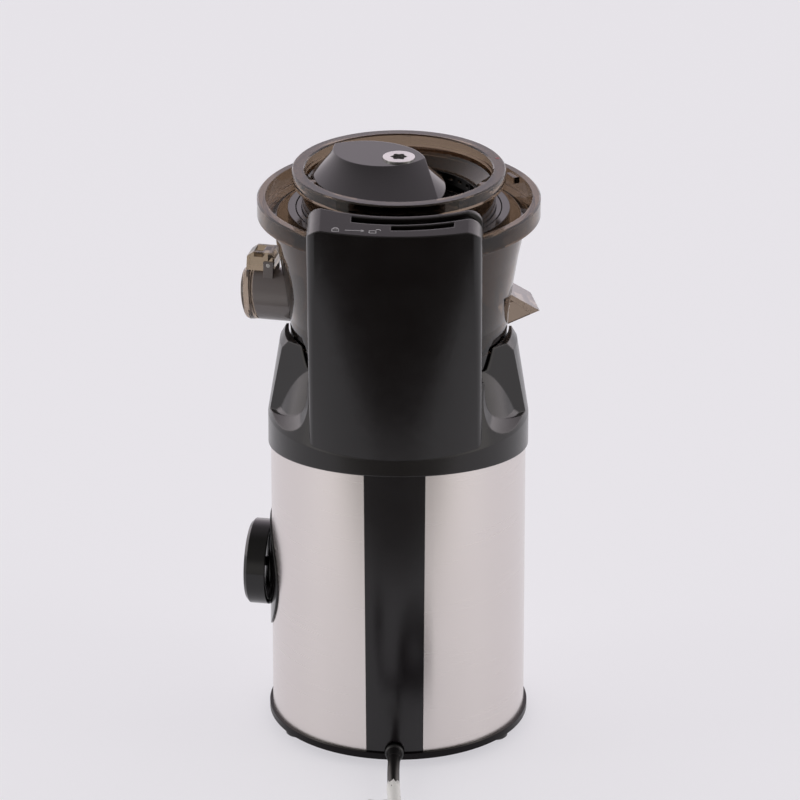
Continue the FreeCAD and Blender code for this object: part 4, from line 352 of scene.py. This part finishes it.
# %% [markdown]
# ## Mains cord
#
# The lead is a stiff rubber cable, wound into a neat coil out of the picture. It is one curve with a round section
# rather than a mesh, because a curve has a length that can be measured. The route repeats the model's points. The
# coil's corners stand on the polygon round each turn, twelve a turn, so the smooth line runs at the coil's own radius.

# %% Cord
CORD_RADIUS = 3.75
CORD_FLOOR = 3.8
COIL_CENTRE = Vector((54, -216, 0))
COIL_OUTER = 48.0
COIL_PITCH = 9.5
COIL_RISE = 8.3
TURNS_IN = 2
TURNS_OUT = 2.25
STEPS = 12
LEAD = [(0, -90, 10.8), (0, -113, 10.8), (2, -140, 5.2), (6, -178, 3.8)]


def coil_corner(turn):
    inner = COIL_OUTER - COIL_PITCH * TURNS_IN
    climb = turn - TURNS_IN
    if climb <= 0:
        radius, z = COIL_OUTER - COIL_PITCH * turn, CORD_FLOOR
    elif climb < 0.5:
        radius, z = inner, CORD_FLOOR + 2 * COIL_RISE * climb
    else:
        radius, z = inner + COIL_PITCH * (climb - 0.5), CORD_FLOOR + COIL_RISE
    angle = math.pi + 2 * math.pi * turn
    reach = radius / math.cos(math.pi / STEPS)
    return COIL_CENTRE + Vector((reach * math.cos(angle), reach * math.sin(angle), z))


total_turns = TURNS_IN + 0.5 + TURNS_OUT
coil = [coil_corner((k + 0.5) / STEPS) for k in range(int(total_turns * STEPS))]
coil_end = COIL_CENTRE + Vector((0, COIL_OUTER - COIL_PITCH * (TURNS_IN - TURNS_OUT), CORD_FLOOR + COIL_RISE))
plug_lift = 8.55 - coil_end.z
TAIL = [(-32, 0, 0), (-62, -7, 0), (-87, -22, -COIL_RISE), (-101, -44, plug_lift), (-108, -66, plug_lift)]
route = [Vector(spot) for spot in LEAD] + coil + [coil_end + Vector(step) for step in TAIL]

curve = bpy.data.curves.new("mains_lead", "CURVE")
curve.dimensions = "3D"
spline = curve.splines.new("NURBS")
spline.points.add(len(route) - 1)
for spot, control in zip(route, spline.points):
    control.co = (*(spot * MM), 1)
spline.order_u = 3
spline.use_endpoint_u = True
spline.resolution_u = 6
lead_line = bpy.data.objects.new("mains_lead", curve)
bpy.context.scene.collection.objects.link(lead_line)
bpy.context.view_layer.update()
path_mesh = bpy.data.meshes.new_from_object(lead_line)
path = [vertex.co.copy() / MM for vertex in path_mesh.vertices]
bpy.data.meshes.remove(path_mesh)
curve.bevel_depth = CORD_RADIUS * MM
curve.bevel_resolution = 6
curve.use_fill_caps = True
curve.materials.append(rubber)
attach(lead_line, "base")
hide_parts("mains_cord", "cord_coil", "cord_tail")

# %% [markdown]
# The label is a slip of paper round the cord, its upper edge torn, with one end that sticks out as a flag. A tube and a
# sheet follow the curve's own points, so they stay on the cord, and both get their thickness afterwards.


# %% Paper label
LABEL_AROUND = 20
LABEL_ROWS = 9
LABEL_RADIUS = 4.05
LABEL_MOST = 4.2
FLAG_START = 3.9
FLAG_WIDTH = 12.0
FLAG_STEPS = 6
PAPER_THICKNESS = 0.15


def frame_along(points, index):
    way = (points[min(index + 1, len(points) - 1)] - points[max(index - 1, 0)]).normalized()
    side = way.cross(Vector((0, 0, 1))).normalized()
    return way, side, side.cross(way).normalized()


def make_label():
    bm = bmesh.new()
    run = [spot for spot in path if -150 < spot.y < -120 and spot.x < 20][:LABEL_ROWS]
    rows = []
    for index in range(len(run)):
        way, side, up = frame_along(run, index)
        row = []
        for k in range(LABEL_AROUND):
            angle = 2 * math.pi * k / LABEL_AROUND
            swell = LABEL_RADIUS + 0.35 * math.sin(3 * angle + index) * (0.3 + 0.7 * (index % 2))
            torn = 1.6 * math.sin(2.3 * k) if index == 0 else 0
            spot = run[index] + side * (swell * math.cos(angle)) + up * (min(swell, LABEL_MOST) * math.sin(angle))
            row.append(bm.verts.new((spot + way * torn) * MM))
        rows.append(row)
    for low, high in zip(rows, rows[1:]):
        for k in range(LABEL_AROUND):
            after = (k + 1) % LABEL_AROUND
            bm.faces.new((low[k], low[after], high[after], high[k]))
    flag = []
    for index in range(len(run) // 2, len(run)):
        way, side, up = frame_along(run, index)
        line = []
        for k in range(FLAG_STEPS + 1):
            out = FLAG_START + FLAG_WIDTH * k / FLAG_STEPS
            wave = 0.7 * math.sin(1.1 * k + 0.5 * index)
            line.append(bm.verts.new((run[index] + side * out + up * (wave * k / FLAG_STEPS)) * MM))
        flag.append(line)
    for low, high in zip(flag, flag[1:]):
        for k in range(FLAG_STEPS):
            bm.faces.new((low[k], low[k + 1], high[k + 1], high[k]))
    bmesh.ops.recalc_face_normals(bm, faces=bm.faces)
    bmesh.ops.solidify(bm, geom=bm.faces[:], thickness=PAPER_THICKNESS * MM)
    label = add_piece("cord_label", bm, "base", paper)
    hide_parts("cord_tag")
    return label


label = make_label()

# %% [markdown]
# ## Marks on the column's sloping top
#
# A closed lock, an arrow and an open lock show which way the lid turns. They are printed on the real thing. Here they
# are raised strokes a few hundredths of a millimetre high, because they then need no picture and stay sharp.

# %% Lock marks
TOP_SLOPE = 0.17
TOP_HEIGHT = 357
TOP_BACK = -98.5
INK_SINK = 0.02
INK_HEIGHT = 0.06


def on_top(x, y):
    return Vector((x, y, TOP_HEIGHT + TOP_SLOPE * (y - TOP_BACK) - INK_SINK))


def arc_path(x, y, radius, first, last, steps=10):
    spots = []
    for k in range(steps + 1):
        angle = math.radians(first + (last - first) * k / steps)
        spots.append(on_top(x + radius * math.cos(angle), y + radius * math.sin(angle)))
    return spots


def lock_mark(bm, x, y, swing):
    up = Vector((0, -TOP_SLOPE, 1)).normalized()
    body = [on_top(x - 2, y - 2.6), on_top(x + 2, y - 2.6), on_top(x + 2, y), on_top(x - 2, y), on_top(x - 2, y - 2.6)]
    strip_along(bm, body, 0.5, INK_HEIGHT, up)
    strip_along(bm, arc_path(x + swing, y, 1.5, 180 - swing * 12, 0), 0.45, INK_HEIGHT, up)


def make_marks():
    bm = bmesh.new()
    up = Vector((0, -TOP_SLOPE, 1)).normalized()
    lock_mark(bm, -34.4, -90, 0)
    lock_mark(bm, -12.4, -91.6, 3.2)
    strip_along(bm, [on_top(-28.8, -91.2), on_top(-17.6, -91.8)], 0.4, INK_HEIGHT, up)
    strip_along(bm, [on_top(-19.4, -90.6), on_top(-17.4, -91.8), on_top(-19.4, -93)], 0.4, INK_HEIGHT, up)
    add_piece("lock_marks", bm, "base", print_grey, smooth=False)


make_marks()

# %% [markdown]
# ## Red mark on the collar and pointer in the knob
#
# The red mark shows where the lid lines up, and the pointer shows how far the knob is turned. Each rides on its own
# body, so it moves with it.

# %% Small inlays
MARK_ANGLE = 16
COLLAR_TOP = 358.72
MARK_START = 60.6
MARK_LENGTH = 2.2
KNOB_ANGLE = 8.5
KNOB_HEIGHT = 96.3
POINTER_DISTANCE = 91


def make_red_mark():
    bm = bmesh.new()
    angle = math.radians(MARK_ANGLE)
    way = Vector((math.cos(angle), math.sin(angle), 0))
    start = Vector((0, 12, COLLAR_TOP)) + way * MARK_START
    strip_along(bm, [start, start + way * MARK_LENGTH], 2.4, INK_HEIGHT, Vector((0, 0, 1)))
    add_piece("collar_mark", bm, "strainer_set", mark_red, smooth=False)


def make_pointer():
    bm = bmesh.new()
    angle = math.radians(KNOB_ANGLE)
    way = Vector((-math.cos(angle), math.sin(angle), 0))
    centre = Vector((0, 0, KNOB_HEIGHT)) + way * POINTER_DISTANCE
    strip_along(bm, [centre + Vector((0, 0, 12.4)), centre + Vector((0, 0, 20.4))], 1.5, 0.6, way)
    add_piece("knob_pointer", bm, "knob", print_grey, smooth=False)


make_red_mark()
make_pointer()

# %% [markdown]
# ## Floor, light and camera
#
# The juicer stands on a pale table whose edge is just behind it. The table is a plain matt surface. Only what the
# camera, mirrors and clear plastic see of it is mixed with a little glow, so it looks as white as the photograph's
# and still keeps its shadow.

# %% Floor and surround
TABLE_EDGE = -0.36
FLOOR_GLOW = 0.56
BACKDROP = 0.8
SIDES = 1.0
DIM = 0.15
BEHIND = 0.35
floor_mesh = bpy.data.meshes.new("floor")
table_corners = [(-6, TABLE_EDGE, 0), (6, TABLE_EDGE, 0), (6, 9, 0), (-6, 9, 0)]
floor_mesh.from_pydata(table_corners, [], [(0, 1, 2, 3)])
floor = bpy.data.objects.new("floor", floor_mesh)
bpy.context.scene.collection.objects.link(floor)
floor_finish = Finish("floor_pale", (0.8, 0.83, 0.84), 0.6)
floor_finish.vary_roughness(floor_finish.noise(3, 2), 0.05)
glow = floor_finish.node("ShaderNodeEmission")
glow.inputs["Color"].default_value = (0.97, 0.945, 1, 1)
glow.inputs["Strength"].default_value = 1
rays = floor_finish.node("ShaderNodeLightPath")
watched = rays.outputs["Is Camera Ray"]
for name in ("Is Glossy Ray", "Is Transmission Ray"):
    either = floor_finish.node("ShaderNodeMath", operation="MAXIMUM")
    floor_finish.link(watched, either.inputs[0])
    floor_finish.link(rays.outputs[name], either.inputs[1])
    watched = either.outputs["Value"]
share = floor_finish.node("ShaderNodeMath", operation="MULTIPLY")
share.inputs[1].default_value = FLOOR_GLOW
floor_finish.link(watched, share.inputs[0])
blend = floor_finish.node("ShaderNodeMixShader")
floor_finish.link(share.outputs["Value"], blend.inputs["Fac"])
floor_finish.link(floor_finish.shader.outputs["BSDF"], blend.inputs[1])
floor_finish.link(glow.outputs["Emission"], blend.inputs[2])
floor_finish.link(blend.outputs["Shader"], floor_finish.tree.nodes["Material Output"].inputs["Surface"])
floor_mesh.materials.append(floor_finish.material)

world = bpy.data.worlds.new("surround")
bpy.context.scene.world = world
world.use_nodes = True
world_nodes = world.node_tree.nodes
world_links = world.node_tree.links
world_nodes.clear()


def world_math(operation, *values):
    step = world_nodes.new("ShaderNodeMath")
    step.operation = operation
    for socket, value in zip(step.inputs, values):
        if isinstance(value, (int, float)):
            socket.default_value = value
        else:
            world_links.new(value, socket)
    return step.outputs["Value"]


def world_range(value, low, high, to_low, to_high):
    step = world_nodes.new("ShaderNodeMapRange")
    step.interpolation_type = "SMOOTHSTEP"
    world_links.new(value, step.inputs["Value"])
    for name, number in (("From Min", low), ("From Max", high), ("To Min", to_low), ("To Max", to_high)):
        step.inputs[name].default_value = number
    return step.outputs["Result"]


# %% [markdown]
# The surround is a pale lilac backdrop in front of the juicer and two bright sides. It is dim overhead and dark below
# the edge of the table, behind the juicer, which keeps the black column black. The strength follows the direction, so
# no lamp has to be shaped for it.

# %% Surround light
direction = world_nodes.new("ShaderNodeSeparateXYZ")
world_links.new(world_nodes.new("ShaderNodeTexCoord").outputs["Generated"], direction.inputs["Vector"])
below = world_range(direction.outputs["Z"], -0.6, -0.1, 0.06, 1)
backdrop = world_range(direction.outputs["Y"], -0.15, 0.55, 0, BACKDROP)
overhead = world_range(direction.outputs["Z"], 0.45, 0.85, 1, 0.35)
sides = world_math("MULTIPLY", direction.outputs["X"], direction.outputs["X"])
sides = world_math("MULTIPLY_ADD", sides, SIDES, DIM)
behind = world_range(direction.outputs["Z"], 0.1, 0.5, BEHIND, 0)
warm = world_math("MULTIPLY", world_math("ADD", sides, behind), below)
ray = world_nodes.new("ShaderNodeLightPath")


def world_light(colour, strength):
    made = world_nodes.new("ShaderNodeBackground")
    made.inputs["Color"].default_value = (*colour, 1)
    if isinstance(strength, (int, float)):
        made.inputs["Strength"].default_value = strength
    else:
        world_links.new(strength, made.inputs["Strength"])
    return made.outputs["Background"]


seen = world_light((0.84, 0.81, 0.86), 1.0)
lit = world_nodes.new("ShaderNodeAddShader")
world_links.new(world_light((1, 0.88, 1), world_math("MULTIPLY", backdrop, overhead)), lit.inputs[0])
world_links.new(world_light((1, 0.965, 0.93), warm), lit.inputs[1])
mix = world_nodes.new("ShaderNodeMixShader")
output = world_nodes.new("ShaderNodeOutputWorld")
plain = world_math("MAXIMUM", ray.outputs["Is Camera Ray"], ray.outputs["Is Transmission Ray"])
world_links.new(plain, mix.inputs["Fac"])
world_links.new(lit.outputs["Shader"], mix.inputs[1])
world_links.new(seen, mix.inputs[2])
world_links.new(mix.outputs["Shader"], output.inputs["Surface"])


# %% [markdown]
# Two weak panels at the sides soften the shadow under the bowl.


# %% Lights
def panel(name, spot, aim, size, power, colour=(1, 1, 1)):
    light = bpy.data.lights.new(name, "AREA")
    light.shape = "RECTANGLE"
    light.size, light.size_y = size
    light.energy = power
    light.color = colour
    lamp = bpy.data.objects.new(name, light)
    lamp.location = spot
    lamp.rotation_euler = (Vector(aim) - Vector(spot)).to_track_quat("-Z", "Y").to_euler()
    bpy.context.scene.collection.objects.link(lamp)


panel("panel_left", (-2.2, -0.5, 1.2), (0, 0, 0.2), (0.7, 1.6), 5, (1, 0.98, 0.98))
panel("panel_right", (2.2, -0.5, 1.2), (0, 0, 0.2), (0.7, 1.6), 5, (1, 0.98, 0.98))

# %% [markdown]
# The camera stands far off with a long lens, which keeps the upright edges nearly parallel, and looks down at the
# juicer's back.

# %% Camera
PITCH = 23.06
AZIMUTH = 1.7
DISTANCE = 3500
HEIGHT = 1701.04
AIM_TRIM = -0.0003
camera_data = bpy.data.cameras.new("camera")
camera_data.sensor_width = 36
camera_data.lens = 279.9
camera = bpy.data.objects.new("camera", camera_data)
turn = math.radians(AZIMUTH)
camera.location = Vector((DISTANCE * math.sin(turn), -DISTANCE * math.cos(turn), HEIGHT)) * MM
camera.rotation_euler = (math.radians(90 - PITCH), 0, turn + AIM_TRIM)
bpy.context.scene.collection.objects.link(camera)
bpy.context.scene.camera = camera
bpy.context.scene.view_settings.view_transform = "Standard"
